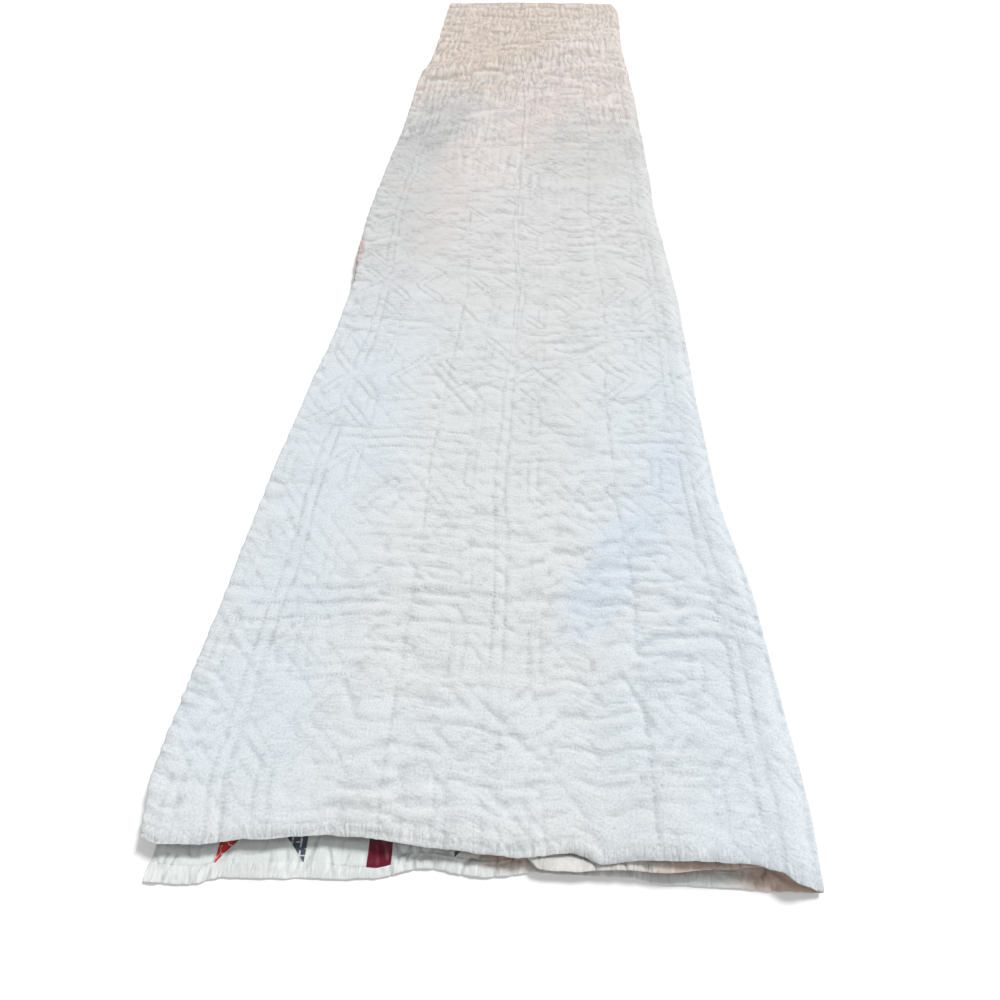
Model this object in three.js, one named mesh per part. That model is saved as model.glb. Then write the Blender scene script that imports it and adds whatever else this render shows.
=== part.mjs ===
// A star patchwork quilt, folded in four along its length with its plain white back outside.
// Millimetres, +Z up. X runs across the folded quilt and Y along it, from the foot hem at the
// near end (-Y) to the head hem. The quilt lies flat on z = 0.
//
// The cloth is one continuous sheet. Counting levels from the surface up, it runs:
//   level 0, patchwork up, from its outer side edge on the left to the outer fold on the right,
//   level 3, the top, back to the centre fold on the left,
//   level 2 to the inner fold, which nests inside the outer one,
//   level 1 back to its inner side edge.

import * as THREE from 'three';
import { mergeVertices } from 'three/addons/utils/BufferGeometryUtils.js';

const { lerp, smoothstep } = THREE.MathUtils;

// ---- the quilt as it is sewn: 66 by 78 inches ----
const QUILT_WIDTH = 1676;
const QUILT_LENGTH = 1981;
const QUILT_THICKNESS = 2.6; // patchwork, wadding and back, stitched through

// ---- the binding: a folded tape that caps every edge, flush with the cloth's faces ----
const BINDING_WIDTH = 8;
const TAPE_THICKNESS = 0.4;
const SEWING_GAP = 0.3; // between the tape and the pressed edge inside it
const SHOULDER = BINDING_WIDTH + SEWING_GAP; // how far in from the edge the full cloth starts
const TONGUE_INSET = TAPE_THICKNESS + SEWING_GAP; // how far in the pressed edge itself starts

// ---- the fold ----
const FOLDED_WIDTH = 432;
const LEVEL_PITCH = 3.6; // from the middle of one layer to the next
const LEFT_EDGE = -FOLDED_WIDTH / 2;
const OUTER_SIDE_X = -208; // the bottom layer's free edge, a little inside the centre fold
const OUTER_FOLD = { x: 212, reach: 2.7 }; // reach: how far the cloth's middle bulges past x
const CENTRE_FOLD = { x: -213, reach: 1.8 };
const INNER_FOLD = { x: 195, reach: 1.8 };
const PRESSED_HEIGHT = 5.4; // between the middles of the outer fold's two layers
const PRESSED_RUN = 13; // the length over which the top comes down to the outer fold

// ---- how far the two long edges stray outwards, along the quilt from its foot ----
const EDGE_DRIFT = [
  { at: 0, left: -4, right: 1 },
  { at: 45, left: 3, right: 4 },
  { at: 180, left: 1, right: 2 },
  { at: 300, left: 0, right: -9 },
  { at: 410, left: -4, right: -8 },
  { at: 530, left: -11, right: -4 },
  { at: 610, left: -10, right: -1 },
  { at: 715, left: 1, right: -2 },
  { at: 830, left: 6, right: -4 },
  { at: 970, left: 6, right: 2 },
  { at: 1130, left: 4, right: 6 },
  { at: 1330, left: 8, right: 11 },
  { at: 1600, left: 0, right: 11 },
  { at: 1950, left: 7, right: 26 },
];

// ---- how far each layer's foot hem stands out past an even foot line, across the fold ----
const FOOT_HEM_BOTTOM = [
  { at: -208, out: 19 },
  { at: -178, out: 19 },
  { at: -158, out: 14.5 },
  { at: -90, out: 12 },
  { at: -66, out: 10 },
  { at: -33, out: 3.5 },
  { at: 5, out: 6.5 },
  { at: 38, out: 2 },
  { at: 96, out: 2 },
  { at: 118, out: 4 },
  { at: 212, out: 4 },
];
const FOOT_HEM_MIDDLE = [
  { at: -213, out: -5 },
  { at: -190, out: -13 },
  { at: 24, out: -11 },
  { at: 41, out: 0.8 },
  { at: 62, out: 0.8 },
  { at: 84, out: -1.4 },
  { at: 115, out: -1.5 },
  { at: 150, out: -5 },
  { at: 195, out: -10 },
];
const FOOT_HEM_TOP = [
  { at: -213, out: -3 },
  { at: -202, out: -0.5 },
  { at: -180, out: -1 },
  { at: -143, out: -6 },
  { at: -92, out: -10.5 },
  { at: -66, out: -10 },
  { at: -25, out: -7 },
  { at: 25, out: -4.5 },
  { at: 59, out: -8.5 },
  { at: 79, out: -4 },
  { at: 108, out: -7.5 },
  { at: 168, out: -8.5 },
  { at: 186, out: -5.5 },
  { at: 198, out: 0 },
  { at: 212, out: 3 },
];

// ---- what each level does: its foot hem, its even step at the head hem, and its share of a swell ----
const LEVELS = [
  { footHem: FOOT_HEM_BOTTOM, headOut: 4, share: 0 },
  { footHem: FOOT_HEM_MIDDLE, headOut: -3, share: 0.2 },
  { footHem: FOOT_HEM_MIDDLE, headOut: -1, share: 0.45 },
  { footHem: FOOT_HEM_TOP, headOut: 2, share: 1 },
];

// ---- soft swells of the top: middle, half sizes, height, and skew in mm along per mm across ----
const SWELLS = [
  { x: 142, along: -5, halfAcross: 46, halfAlong: 85, height: 7, skew: 0 }, // the open mouth of the foot
  { x: -60, along: 200, halfAcross: 120, halfAlong: 113, height: 2.2, skew: 0.3 },
  { x: 95, along: 410, halfAcross: 90, halfAlong: 165, height: 2.6, skew: -0.4 },
  { x: -70, along: 780, halfAcross: 120, halfAlong: 210, height: 3, skew: 0.5 },
  { x: 60, along: 1120, halfAcross: 130, halfAlong: 180, height: 3.4, skew: -0.3 },
  { x: 10, along: 1555, halfAcross: 420, halfAlong: 46, height: 10, skew: 0.7 }, // the ridge
  { x: 40, along: 1985, halfAcross: 260, halfAlong: 175, height: 6, skew: 0 },
];

// ---- how finely the cloth is divided ----
const ACROSS_STEP = 42;
const FOLD_STEPS = 5;
const PRESSED_STEPS = 3;
const ROWS = [
  22, 46, 76, 112, 160, 225, 305, 395, 500, 620, 750, 890, 1040, 1190, 1330, 1420, 1490, 1550, 1610, 1680,
  1770, 1880,
];

// The value of a column between two rows of a table, eased from one row to the next.
function read(table, column, at) {
  const next = table.findIndex((row) => row.at > at);
  if (next === 0) return table[0][column];
  if (next < 0) return table.at(-1)[column];
  const before = table[next - 1];
  const after = table[next];
  return lerp(before[column], after[column], smoothstep(at, before.at, after.at));
}

function swellHeight(x, along) {
  let height = 0;
  for (const swell of SWELLS) {
    const across = x - swell.x;
    const down = along - swell.along - swell.skew * across;
    height += swell.height * Math.exp(-((across / swell.halfAcross) ** 2) - (down / swell.halfAlong) ** 2);
  }
  return height;
}

// The height of the middle of a layer. The top one comes down to the pressed outer fold.
function layerHeight(level, x, along) {
  const pressing = level === 3 ? smoothstep(x, OUTER_FOLD.x - PRESSED_RUN, OUTER_FOLD.x) : 0;
  const flat = QUILT_THICKNESS / 2 + level * LEVEL_PITCH + LEVELS[level].share * swellHeight(x, along);
  return lerp(flat, QUILT_THICKNESS / 2 + PRESSED_HEIGHT, pressing);
}

// The stretches that the cloth runs through, from its outer side edge to its inner one.
function foldingPlan() {
  const stretches = [
    { level: 0, from: OUTER_SIDE_X, to: OUTER_FOLD.x },
    { fold: OUTER_FOLD, side: 1, low: 0, high: 3, rising: true },
    { level: 3, from: OUTER_FOLD.x, to: CENTRE_FOLD.x },
    { fold: CENTRE_FOLD, side: -1, low: 2, high: 3, rising: false },
    { level: 2, from: CENTRE_FOLD.x, to: INNER_FOLD.x },
    { fold: INNER_FOLD, side: 1, low: 1, high: 2, rising: false },
  ];
  let start = 0;
  for (const stretch of stretches) {
    stretch.start = start;
    stretch.length = stretch.fold ? Math.PI * stretch.fold.reach : Math.abs(stretch.to - stretch.from);
    start += stretch.length;
  }
  const left = QUILT_WIDTH - start;
  stretches.push({ level: 1, from: INNER_FOLD.x, to: INNER_FOLD.x - left, start, length: left });
  return stretches;
}

const STRETCHES = foldingPlan();

// Where along the quilt a point of a level lies, from the even foot line.
function alongOf(level, x, down) {
  const foot = -read(LEVELS[level].footHem, 'out', x);
  return down + lerp(foot, LEVELS[level].headOut, down / QUILT_LENGTH);
}

// A point of the cloth's middle: "across" is measured over the open quilt, from its outer side
// edge, and "down" from its foot hem.
function middlePoint(across, down) {
  const stretch = STRETCHES.findLast((each) => each.start <= across) ?? STRETCHES[0];
  const part = (across - stretch.start) / stretch.length;
  const point = new THREE.Vector3();
  if (stretch.fold) {
    const { fold, side, low, high, rising } = stretch;
    const turn = Math.PI * (rising ? part - 0.5 : 0.5 - part);
    const blend = rising ? part : 1 - part;
    const along = lerp(alongOf(low, fold.x, down), alongOf(high, fold.x, down), blend);
    const bottom = layerHeight(low, fold.x, along);
    const top = layerHeight(high, fold.x, along);
    point.x = fold.x + side * fold.reach * Math.cos(turn);
    point.y = along;
    point.z = (bottom + top) / 2 + ((top - bottom) / 2) * Math.sin(turn);
  } else {
    point.x = lerp(stretch.from, stretch.to, part);
    point.y = alongOf(stretch.level, point.x, down);
    point.z = layerHeight(stretch.level, point.x, point.y);
  }
  const fromLeft = (point.x - LEFT_EDGE) / FOLDED_WIDTH;
  point.x += lerp(-read(EDGE_DRIFT, 'left', point.y), read(EDGE_DRIFT, 'right', point.y), fromLeft);
  return point;
}

// A point that stands off the cloth's middle: towards the patchwork front when "off" is
// positive, towards the white back when it is negative.
function clothPoint(across, down, off) {
  const reach = 0.4;
  const before = middlePoint(Math.max(across - reach, 0), down);
  const after = middlePoint(Math.min(across + reach, QUILT_WIDTH), down);
  const normal = new THREE.Vector3(before.z - after.z, 0, after.x - before.x).normalize();
  return middlePoint(across, down).addScaledVector(normal, off);
}

// The places over the open quilt's width where the cloth is divided, from shoulder to shoulder.
function acrossPlaces() {
  const places = [SHOULDER];
  for (const stretch of STRETCHES) {
    if (stretch.fold) {
      for (let step = 0; step <= FOLD_STEPS; step += 1) {
        places.push(stretch.start + (stretch.length * step) / FOLD_STEPS);
      }
      continue;
    }
    if (stretch.level === 3) {
      for (let step = 1; step <= PRESSED_STEPS; step += 1) {
        places.push(stretch.start + (PRESSED_RUN * step) / PRESSED_STEPS);
      }
    }
    const direction = Math.sign(stretch.to - stretch.from);
    const margin = ACROSS_STEP / 3;
    for (let x = LEFT_EDGE + ACROSS_STEP / 2; x < -LEFT_EDGE; x += ACROSS_STEP) {
      const place = (x - stretch.from) * direction;
      if (place > margin && place < stretch.length - margin) places.push(stretch.start + place);
    }
  }
  places.push(QUILT_WIDTH - SHOULDER);
  return places.sort((a, b) => a - b);
}

const ACROSS = acrossPlaces();
const DOWN = [SHOULDER, ...ROWS, QUILT_LENGTH - SHOULDER];

// A closed solid from four-sided faces. Faces that shrink to a line are left out.
function solidFromFaces(faces, colour) {
  const corners = [];
  const apart = (a, b) => a.distanceToSquared(b) > 1e-8;
  for (const [a, b, c, d] of faces) {
    for (const triangle of [[a, b, c], [a, c, d]]) {
      const [p, q, r] = triangle;
      if (apart(p, q) && apart(q, r) && apart(r, p)) corners.push(...triangle);
    }
  }
  const geometry = mergeVertices(new THREE.BufferGeometry().setFromPoints(corners), 1e-4);
  geometry.computeVertexNormals();
  const material = new THREE.MeshStandardMaterial({ color: colour, roughness: 0.9, metalness: 0 });
  return new THREE.Mesh(geometry, material);
}

// The quilted cloth: full thickness inside the shoulders, a thin pressed tongue outside them.
function quiltedCloth() {
  const inset = TONGUE_INSET;
  const lines = (places, size) => [
    { at: inset, full: false },
    { at: places[0], full: false },
    ...places.map((at) => ({ at, full: true })),
    { at: places.at(-1), full: false },
    { at: size - inset, full: false },
  ];
  const columns = lines(ACROSS, QUILT_WIDTH);
  const rows = lines(DOWN, QUILT_LENGTH);
  const tongue = QUILT_THICKNESS / 2 - TONGUE_INSET;
  const face = (side) => columns.map((column) => rows.map((row) => {
    const half = column.full && row.full ? QUILT_THICKNESS / 2 : tongue;
    return clothPoint(column.at, row.at, side * half);
  }));
  const front = face(1);
  const back = face(-1);
  const lastColumn = columns.length - 1;
  const lastRow = rows.length - 1;
  const faces = [];
  for (let i = 0; i < lastColumn; i += 1) {
    for (let j = 0; j < lastRow; j += 1) {
      faces.push([front[i][j], front[i + 1][j], front[i + 1][j + 1], front[i][j + 1]]);
      faces.push([back[i][j], back[i][j + 1], back[i + 1][j + 1], back[i + 1][j]]);
    }
    faces.push([back[i][0], back[i + 1][0], front[i + 1][0], front[i][0]]);
    faces.push([front[i][lastRow], front[i + 1][lastRow], back[i + 1][lastRow], back[i][lastRow]]);
  }
  for (let j = 0; j < lastRow; j += 1) {
    faces.push([back[0][j + 1], back[0][j], front[0][j], front[0][j + 1]]);
    const innerBack = back[lastColumn];
    const innerFront = front[lastColumn];
    faces.push([innerBack[j], innerBack[j + 1], innerFront[j + 1], innerFront[j]]);
  }
  return solidFromFaces(faces, 0xe9e6e2);
}

// A folded tape: a narrow channel that is swept along an edge. "pointAt" places a station of it,
// at a depth in from the edge and an offset from the cloth's middle; "turned" says that the edge
// runs the other way round the cloth.
function bindingTape(stations, pointAt, turned) {
  const outside = QUILT_THICKNESS / 2;
  const inside = outside - TAPE_THICKNESS;
  const profile = [
    [BINDING_WIDTH, outside],
    [0, outside],
    [0, -outside],
    [BINDING_WIDTH, -outside],
    [BINDING_WIDTH, -inside],
    [TAPE_THICKNESS, -inside],
    [TAPE_THICKNESS, inside],
    [BINDING_WIDTH, inside],
  ];
  const rings = stations.map((station) => profile.map(([depth, off]) => pointAt(station, depth, off)));
  const faces = [];
  for (let k = 0; k < rings.length - 1; k += 1) {
    for (let p = 0; p < profile.length; p += 1) {
      const q = (p + 1) % profile.length;
      faces.push([rings[k][p], rings[k][q], rings[k + 1][q], rings[k + 1][p]]);
    }
  }
  const walls = [[0, 1, 6, 7], [1, 2, 5, 6], [2, 3, 4, 5]];
  for (const wall of walls) {
    faces.push(wall.map((corner) => rings[0][corner]).reverse());
    faces.push(wall.map((corner) => rings.at(-1)[corner]));
  }
  if (turned) faces.forEach((each) => each.reverse());
  return solidFromFaces(faces, 0xf2efe9);
}

const wholeWidth = [0, ...ACROSS, QUILT_WIDTH];

const pieces = {
  quilt_cloth: quiltedCloth(),
  binding_foot: bindingTape(wholeWidth, (across, depth, off) => clothPoint(across, depth, off), false),
  binding_head: bindingTape(
    wholeWidth,
    (across, depth, off) => clothPoint(across, QUILT_LENGTH - depth, off),
    true,
  ),
  binding_outer_side: bindingTape(DOWN, (down, depth, off) => clothPoint(depth, down, off), true),
  binding_inner_side: bindingTape(
    DOWN,
    (down, depth, off) => clothPoint(QUILT_WIDTH - depth, down, off),
    false,
  ),
};

const quilt = new THREE.Group();
for (const [name, piece] of Object.entries(pieces)) {
  piece.name = name;
  quilt.add(piece);
}

// The origin is the middle of the underside of the whole quilt's box.
const box = new THREE.Box3().setFromObject(quilt);
const middle = box.getCenter(new THREE.Vector3());
quilt.position.set(-middle.x, -middle.y, -box.min.z);

export default quilt;
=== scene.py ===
# %% [markdown]
# # A star patchwork quilt, folded in four along its length
#
# This lesson dresses a folded quilt. The quilt was sewn from a pieced front, a thin wadding
# and a plain white back, quilted by hand and bound along its four edges. It lies folded in
# four with its back outside, so most of what shows is white cotton with rows of small
# stitches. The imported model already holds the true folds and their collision. Here each
# fabric becomes its own thin mesh on those folds, with the crinkles that years of washing
# leave round the stitches.

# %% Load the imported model
import math

import bpy
import numpy as np
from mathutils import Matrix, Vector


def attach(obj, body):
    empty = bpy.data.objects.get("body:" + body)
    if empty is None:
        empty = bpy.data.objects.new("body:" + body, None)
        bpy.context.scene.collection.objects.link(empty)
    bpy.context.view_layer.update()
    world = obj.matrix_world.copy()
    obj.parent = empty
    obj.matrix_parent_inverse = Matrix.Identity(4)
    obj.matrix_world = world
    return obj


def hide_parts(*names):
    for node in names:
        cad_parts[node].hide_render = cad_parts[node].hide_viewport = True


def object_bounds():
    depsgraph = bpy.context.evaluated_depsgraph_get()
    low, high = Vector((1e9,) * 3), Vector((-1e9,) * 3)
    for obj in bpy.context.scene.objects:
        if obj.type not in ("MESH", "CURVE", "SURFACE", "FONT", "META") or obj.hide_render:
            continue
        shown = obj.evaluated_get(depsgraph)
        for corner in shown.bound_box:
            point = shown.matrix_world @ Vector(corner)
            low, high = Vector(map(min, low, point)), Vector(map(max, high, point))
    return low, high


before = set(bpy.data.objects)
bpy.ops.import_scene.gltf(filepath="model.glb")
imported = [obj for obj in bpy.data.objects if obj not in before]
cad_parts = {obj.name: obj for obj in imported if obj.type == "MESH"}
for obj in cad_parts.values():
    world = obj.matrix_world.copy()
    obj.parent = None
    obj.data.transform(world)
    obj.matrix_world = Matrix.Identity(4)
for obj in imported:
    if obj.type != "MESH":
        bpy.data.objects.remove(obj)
cad_low, cad_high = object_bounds()
MM = 0.001  # every table below is in millimetres, and Blender's meshes are in metres
print("model from", [round(n, 4) for n in cad_low], "to", [round(n, 4) for n in cad_high])

# %% [markdown]
# ## The quilt as it is sewn
#
# Two numbers run through the whole file. `across` is measured over the open quilt from its
# outer side edge, and `down` from its foot hem. A point of the cloth keeps both, however it
# is folded, so they also become the fabrics' texture coordinates.

# %% Sizes of the open quilt
WIDTH = 1676
LENGTH = 1981
THICKNESS = 2.6
BINDING = 8
print("open quilt:", WIDTH, "by", LENGTH, "mm, with a binding of", BINDING, "mm")

# %% Sizes of the fold
FOLDED_WIDTH = 432
PITCH = 3.6  # from the middle of one layer to the next
LEFT_EDGE = -FOLDED_WIDTH / 2
OUTER_SIDE_X = -208
OUTER_FOLD = dict(x=212, reach=2.7)
CENTRE_FOLD = dict(x=-213, reach=1.8)
INNER_FOLD = dict(x=195, reach=1.8)
PRESSED_HEIGHT = 5.4
PRESSED_RUN = 13
TOP = 3  # the level that shows: levels are counted from the surface up
print("folded:", FOLDED_WIDTH, "mm wide,", round(TOP * PITCH + THICKNESS, 1), "mm thick")

# %% [markdown]
# ## How unevenly it lies
#
# Nobody folds a quilt to a ruler. Three short tables give how far each layer's foot hem
# stands out past an even line, one gives how far the two long edges stray, and one lists the
# soft swells of the top, with the long ridge near the far end. They are the same tables that
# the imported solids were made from, so the fabrics land on them.

# %% Tables of the lie
EDGE_DRIFT = [
    dict(at=0, left=-4, right=1),
    dict(at=45, left=3, right=4),
    dict(at=180, left=1, right=2),
    dict(at=300, left=0, right=-9),
    dict(at=410, left=-4, right=-8),
    dict(at=530, left=-11, right=-4),
    dict(at=610, left=-10, right=-1),
    dict(at=715, left=1, right=-2),
    dict(at=830, left=6, right=-4),
    dict(at=970, left=6, right=2),
    dict(at=1130, left=4, right=6),
    dict(at=1330, left=8, right=11),
    dict(at=1600, left=0, right=11),
    dict(at=1950, left=7, right=26),
]
FOOT_HEM_BOTTOM = [
    dict(at=-208, out=19),
    dict(at=-178, out=19),
    dict(at=-158, out=14.5),
    dict(at=-90, out=12),
    dict(at=-66, out=10),
    dict(at=-33, out=3.5),
    dict(at=5, out=6.5),
    dict(at=38, out=2),
    dict(at=96, out=2),
    dict(at=118, out=4),
    dict(at=212, out=4),
]
FOOT_HEM_MIDDLE = [
    dict(at=-213, out=-5),
    dict(at=-190, out=-13),
    dict(at=24, out=-11),
    dict(at=41, out=0.8),
    dict(at=62, out=0.8),
    dict(at=84, out=-1.4),
    dict(at=115, out=-1.5),
    dict(at=150, out=-5),
    dict(at=195, out=-10),
]
FOOT_HEM_TOP = [
    dict(at=-213, out=-3),
    dict(at=-202, out=-0.5),
    dict(at=-180, out=-1),
    dict(at=-143, out=-6),
    dict(at=-92, out=-10.5),
    dict(at=-66, out=-10),
    dict(at=-25, out=-7),
    dict(at=25, out=-4.5),
    dict(at=59, out=-8.5),
    dict(at=79, out=-4),
    dict(at=108, out=-7.5),
    dict(at=168, out=-8.5),
    dict(at=186, out=-5.5),
    dict(at=198, out=0),
    dict(at=212, out=3),
]
LEVELS = [
    dict(foot_hem=FOOT_HEM_BOTTOM, head_out=4, share=0),
    dict(foot_hem=FOOT_HEM_MIDDLE, head_out=-3, share=0.2),
    dict(foot_hem=FOOT_HEM_MIDDLE, head_out=-1, share=0.45),
    dict(foot_hem=FOOT_HEM_TOP, head_out=2, share=1),
]
SWELLS = [
    dict(x=142, along=-5, half_across=46, half_along=85, height=7, skew=0),
    dict(x=-60, along=200, half_across=120, half_along=113, height=2.2, skew=0.3),
    dict(x=95, along=410, half_across=90, half_along=165, height=2.6, skew=-0.4),
    dict(x=-70, along=780, half_across=120, half_along=210, height=3, skew=0.5),
    dict(x=60, along=1120, half_across=130, half_along=180, height=3.4, skew=-0.3),
    dict(x=10, along=1555, half_across=420, half_along=46, height=10, skew=0.7),
    dict(x=40, along=1985, half_across=260, half_along=175, height=6, skew=0),
]
print("highest swell:", max(swell["height"] for swell in SWELLS), "mm")


# %% [markdown]
# ## From the open quilt to the fold
#
# The cloth runs through flat stretches and half turns, one after another. Given `across` and
# `down`, `middle_of` finds the middle of the cloth, and `cloth_at` steps off it to the front
# or to the back. Both take whole arrays at once, which is what makes a fine mesh quick.

# %% Easing and swells
def ease(start, end, value):
    part = np.clip((value - start) / (end - start), 0, 1)
    return part * part * (3 - 2 * part)


def read(table, column, at):
    """The value of a column between two rows of a table, eased from one row to the next."""
    places = np.array([row["at"] for row in table], float)
    values = np.array([row[column] for row in table], float)
    row = np.clip(np.searchsorted(places, at, side="right") - 1, 0, len(places) - 2)
    return values[row] + (values[row + 1] - values[row]) * ease(places[row], places[row + 1], at)


def swell_height(x, along):
    height = np.zeros_like(x)
    for swell in SWELLS:
        beside = x - swell["x"]
        beyond = along - swell["along"] - swell["skew"] * beside
        height += swell["height"] * np.exp(
            -((beside / swell["half_across"]) ** 2) - (beyond / swell["half_along"]) ** 2
        )
    return height


def layer_height(level, x, along):
    """The middle of a layer. The top one comes down to the pressed outer fold."""
    flat = THICKNESS / 2 + level * PITCH + LEVELS[level]["share"] * swell_height(x, along)
    if level != TOP:
        return flat
    pressing = ease(OUTER_FOLD["x"] - PRESSED_RUN, OUTER_FOLD["x"], x)
    return flat + (THICKNESS / 2 + PRESSED_HEIGHT - flat) * pressing


def along_of(level, x, down):
    foot = -read(LEVELS[level]["foot_hem"], "out", x)
    return down + foot + (LEVELS[level]["head_out"] - foot) * down / LENGTH


print("eased from 0 to 10, at 0, 2.5, 5 and 10:", ease(0, 10, np.array([0, 2.5, 5, 10])))


# %% The stretches that the cloth runs through
def folding_plan():
    stretches = [
        dict(level=0, start_x=OUTER_SIDE_X, end_x=OUTER_FOLD["x"]),
        dict(fold=OUTER_FOLD, side=1, low=0, high=3, rising=True),
        dict(level=3, start_x=OUTER_FOLD["x"], end_x=CENTRE_FOLD["x"]),
        dict(fold=CENTRE_FOLD, side=-1, low=2, high=3, rising=False),
        dict(level=2, start_x=CENTRE_FOLD["x"], end_x=INNER_FOLD["x"]),
        dict(fold=INNER_FOLD, side=1, low=1, high=2, rising=False),
    ]
    start = 0
    for stretch in stretches:
        if "fold" in stretch:
            stretch["size"] = math.pi * stretch["fold"]["reach"]
        else:
            stretch["size"] = abs(stretch["end_x"] - stretch["start_x"])
        stretch["start"] = start
        start += stretch["size"]
    left = WIDTH - start
    end_x = INNER_FOLD["x"] - left
    stretches.append(dict(level=1, start_x=INNER_FOLD["x"], end_x=end_x, start=start, size=left))
    return stretches


STRETCHES = folding_plan()
OUTER_TURN, TOP_RUN, CENTRE_TURN = STRETCHES[1:4]
for stretch in STRETCHES:
    kind = "half turn" if "fold" in stretch else f"level {stretch['level']}"
    print(f"{kind}: {stretch['start']:.0f} to {stretch['start'] + stretch['size']:.0f} mm across")


# %% A point of the cloth
def across_of(level, x):
    """The place over the open quilt of a point on one level, where it lies flat."""
    run = next(stretch for stretch in STRETCHES if stretch.get("level") == level)
    return run["start"] + abs(x - run["start_x"])


def middle_of(across, down):
    """x, y and z of the cloth's middle, before the model's own shift."""
    x, y, z = (np.zeros_like(across) for _ in range(3))
    starts = np.array([stretch["start"] for stretch in STRETCHES])
    which = np.clip(np.searchsorted(starts, across, side="right") - 1, 0, len(starts) - 1)
    for number, stretch in enumerate(STRETCHES):
        here = which == number
        if not here.any():
            continue
        part = (across[here] - stretch["start"]) / stretch["size"]
        if "fold" in stretch:
            fold = stretch["fold"]
            turn = math.pi * (part - 0.5 if stretch["rising"] else 0.5 - part)
            blend = part if stretch["rising"] else 1 - part
            at_fold = np.full_like(part, fold["x"])
            low = along_of(stretch["low"], at_fold, down[here])
            high = along_of(stretch["high"], at_fold, down[here])
            y[here] = low + (high - low) * blend
            bottom = layer_height(stretch["low"], at_fold, y[here])
            top = layer_height(stretch["high"], at_fold, y[here])
            x[here] = fold["x"] + stretch["side"] * fold["reach"] * np.cos(turn)
            z[here] = (bottom + top) / 2 + (top - bottom) / 2 * np.sin(turn)
        else:
            x[here] = stretch["start_x"] + (stretch["end_x"] - stretch["start_x"]) * part
            y[here] = along_of(stretch["level"], x[here], down[here])
            z[here] = layer_height(stretch["level"], x[here], y[here])
    from_left = (x - LEFT_EDGE) / FOLDED_WIDTH
    left = read(EDGE_DRIFT, "left", y)
    right = read(EDGE_DRIFT, "right", y)
    return x + from_left * right - (1 - from_left) * left, y, z


def cloth_at(across, down, off):
    """A point that stands off the middle, to the front when off is above 0, else to the back."""
    reach = 0.4
    x0, _, z0 = middle_of(np.clip(across - reach, 0, WIDTH), down)
    x1, _, z1 = middle_of(np.clip(across + reach, 0, WIDTH), down)
    size = np.hypot(x1 - x0, z1 - z0)
    x, y, z = middle_of(across, down)
    return np.stack([x - (z1 - z0) / size * off, y, z + (x1 - x0) / size * off], axis=-1)


centre = cloth_at(np.array([WIDTH / 2]), np.array([LENGTH / 2]), 0)[0]
print("the middle of the open quilt comes to lie at", centre.round(1), "mm")


# %% [markdown]
# ## The model's shift
#
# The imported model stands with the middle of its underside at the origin. The functions above
# count x from the middle of the fold and y from the foot line, so a shift brings them
# together. It comes from comparing the two boxes.

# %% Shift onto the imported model
rough_across, rough_down = np.meshgrid(np.linspace(0, WIDTH, 1200), np.linspace(0, LENGTH, 60))
rough = [cloth_at(rough_across, rough_down, side * THICKNESS / 2) for side in (-1, 1)]
rough_low = np.min([part.min(axis=(0, 1)) for part in rough], axis=0)
rough_high = np.max([part.max(axis=(0, 1)) for part in rough], axis=0)
SHIFT = (np.array(cad_low) + np.array(cad_high)) / 2 / MM - (rough_low + rough_high) / 2
SHIFT[2] = -rough_low[2]
cad_size = (np.array(cad_high) - np.array(cad_low)) / MM
print("shift in mm:", np.round(SHIFT, 2))
print("the two boxes differ by", np.round(rough_high - rough_low - cad_size, 2), "mm")


def placed(points):
    """Millimetres on the fold to metres in the model's frame."""
    return (points + SHIFT) * MM


# %% [markdown]
# ## The camera
#
# The quilt is seen by someone who stands at its foot and holds the camera low over the hem:
# a wide lens, looking down and along, so that the near hem is seen from straight above and
# the far end shrinks to a third. The lens and the tilt are set together, because a wide lens
# close by and a long lens far off draw very different quilts.

# %% Camera
camera = bpy.data.objects.new("camera", bpy.data.cameras.new("camera"))
bpy.context.scene.collection.objects.link(camera)
camera.data.sensor_width = 36
camera.data.lens = 19.27
camera.data.clip_start = 0.02
camera.location = placed(np.array([17.9, -11.3, 410.0]))
camera.rotation_euler = (math.radians(90 - 54.02), 0, math.radians(2.92))
bpy.context.scene.camera = camera
print("camera", [round(n, 3) for n in camera.location], "lens", camera.data.lens, "mm")


# %% [markdown]
# ## Uneven, but the same every time
#
# Cloth is irregular at every scale. A loose grid of random heights, eased in between, gives
# that: a wide and short grid makes wrinkles that run across, a narrow and long one makes ribs
# that run along. Each call names its seed, so the quilt is the same each time.

# %% Random heights on a loose grid
def loose_noise(a, b, size_a, size_b, seed):
    """Heights from -1 to 1, with hills about as large as the two sizes."""
    count = 256
    heights = np.random.default_rng(seed).uniform(-1, 1, (count, count))
    place_a, place_b = a / size_a, b / size_b
    i, j = np.floor(place_a).astype(int), np.floor(place_b).astype(int)
    s, t = ease(0, 1, place_a - i), ease(0, 1, place_b - j)
    near = heights[i % count, j % count] * (1 - s) + heights[(i + 1) % count, j % count] * s
    far = heights[i % count, (j + 1) % count] * (1 - s)
    far = far + heights[(i + 1) % count, (j + 1) % count] * s
    return near * (1 - t) + far * t


def crinkles(a, b, size_a, size_b, seed):
    """Narrow troughs along the lines where the noise crosses zero, from 0 down to -1."""
    return -((1 - np.abs(loose_noise(a, b, size_a, size_b, seed))) ** 5)


def layers(rows, across, down, bend=0.0):
    """Adds up a table of noises. A sharp row is crinkles, lifted so that it stays level."""
    height = np.zeros_like(across)
    for row in rows:
        make = crinkles if row.get("sharp") else loose_noise
        a = across + row.get("lean", 0) * bend
        b = down + row.get("bent", 0) * bend
        height += row["height"] * make(a, b, row["across"], row["down"], row["seed"])
        height += row.get("lift", 0)
    return height


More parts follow.
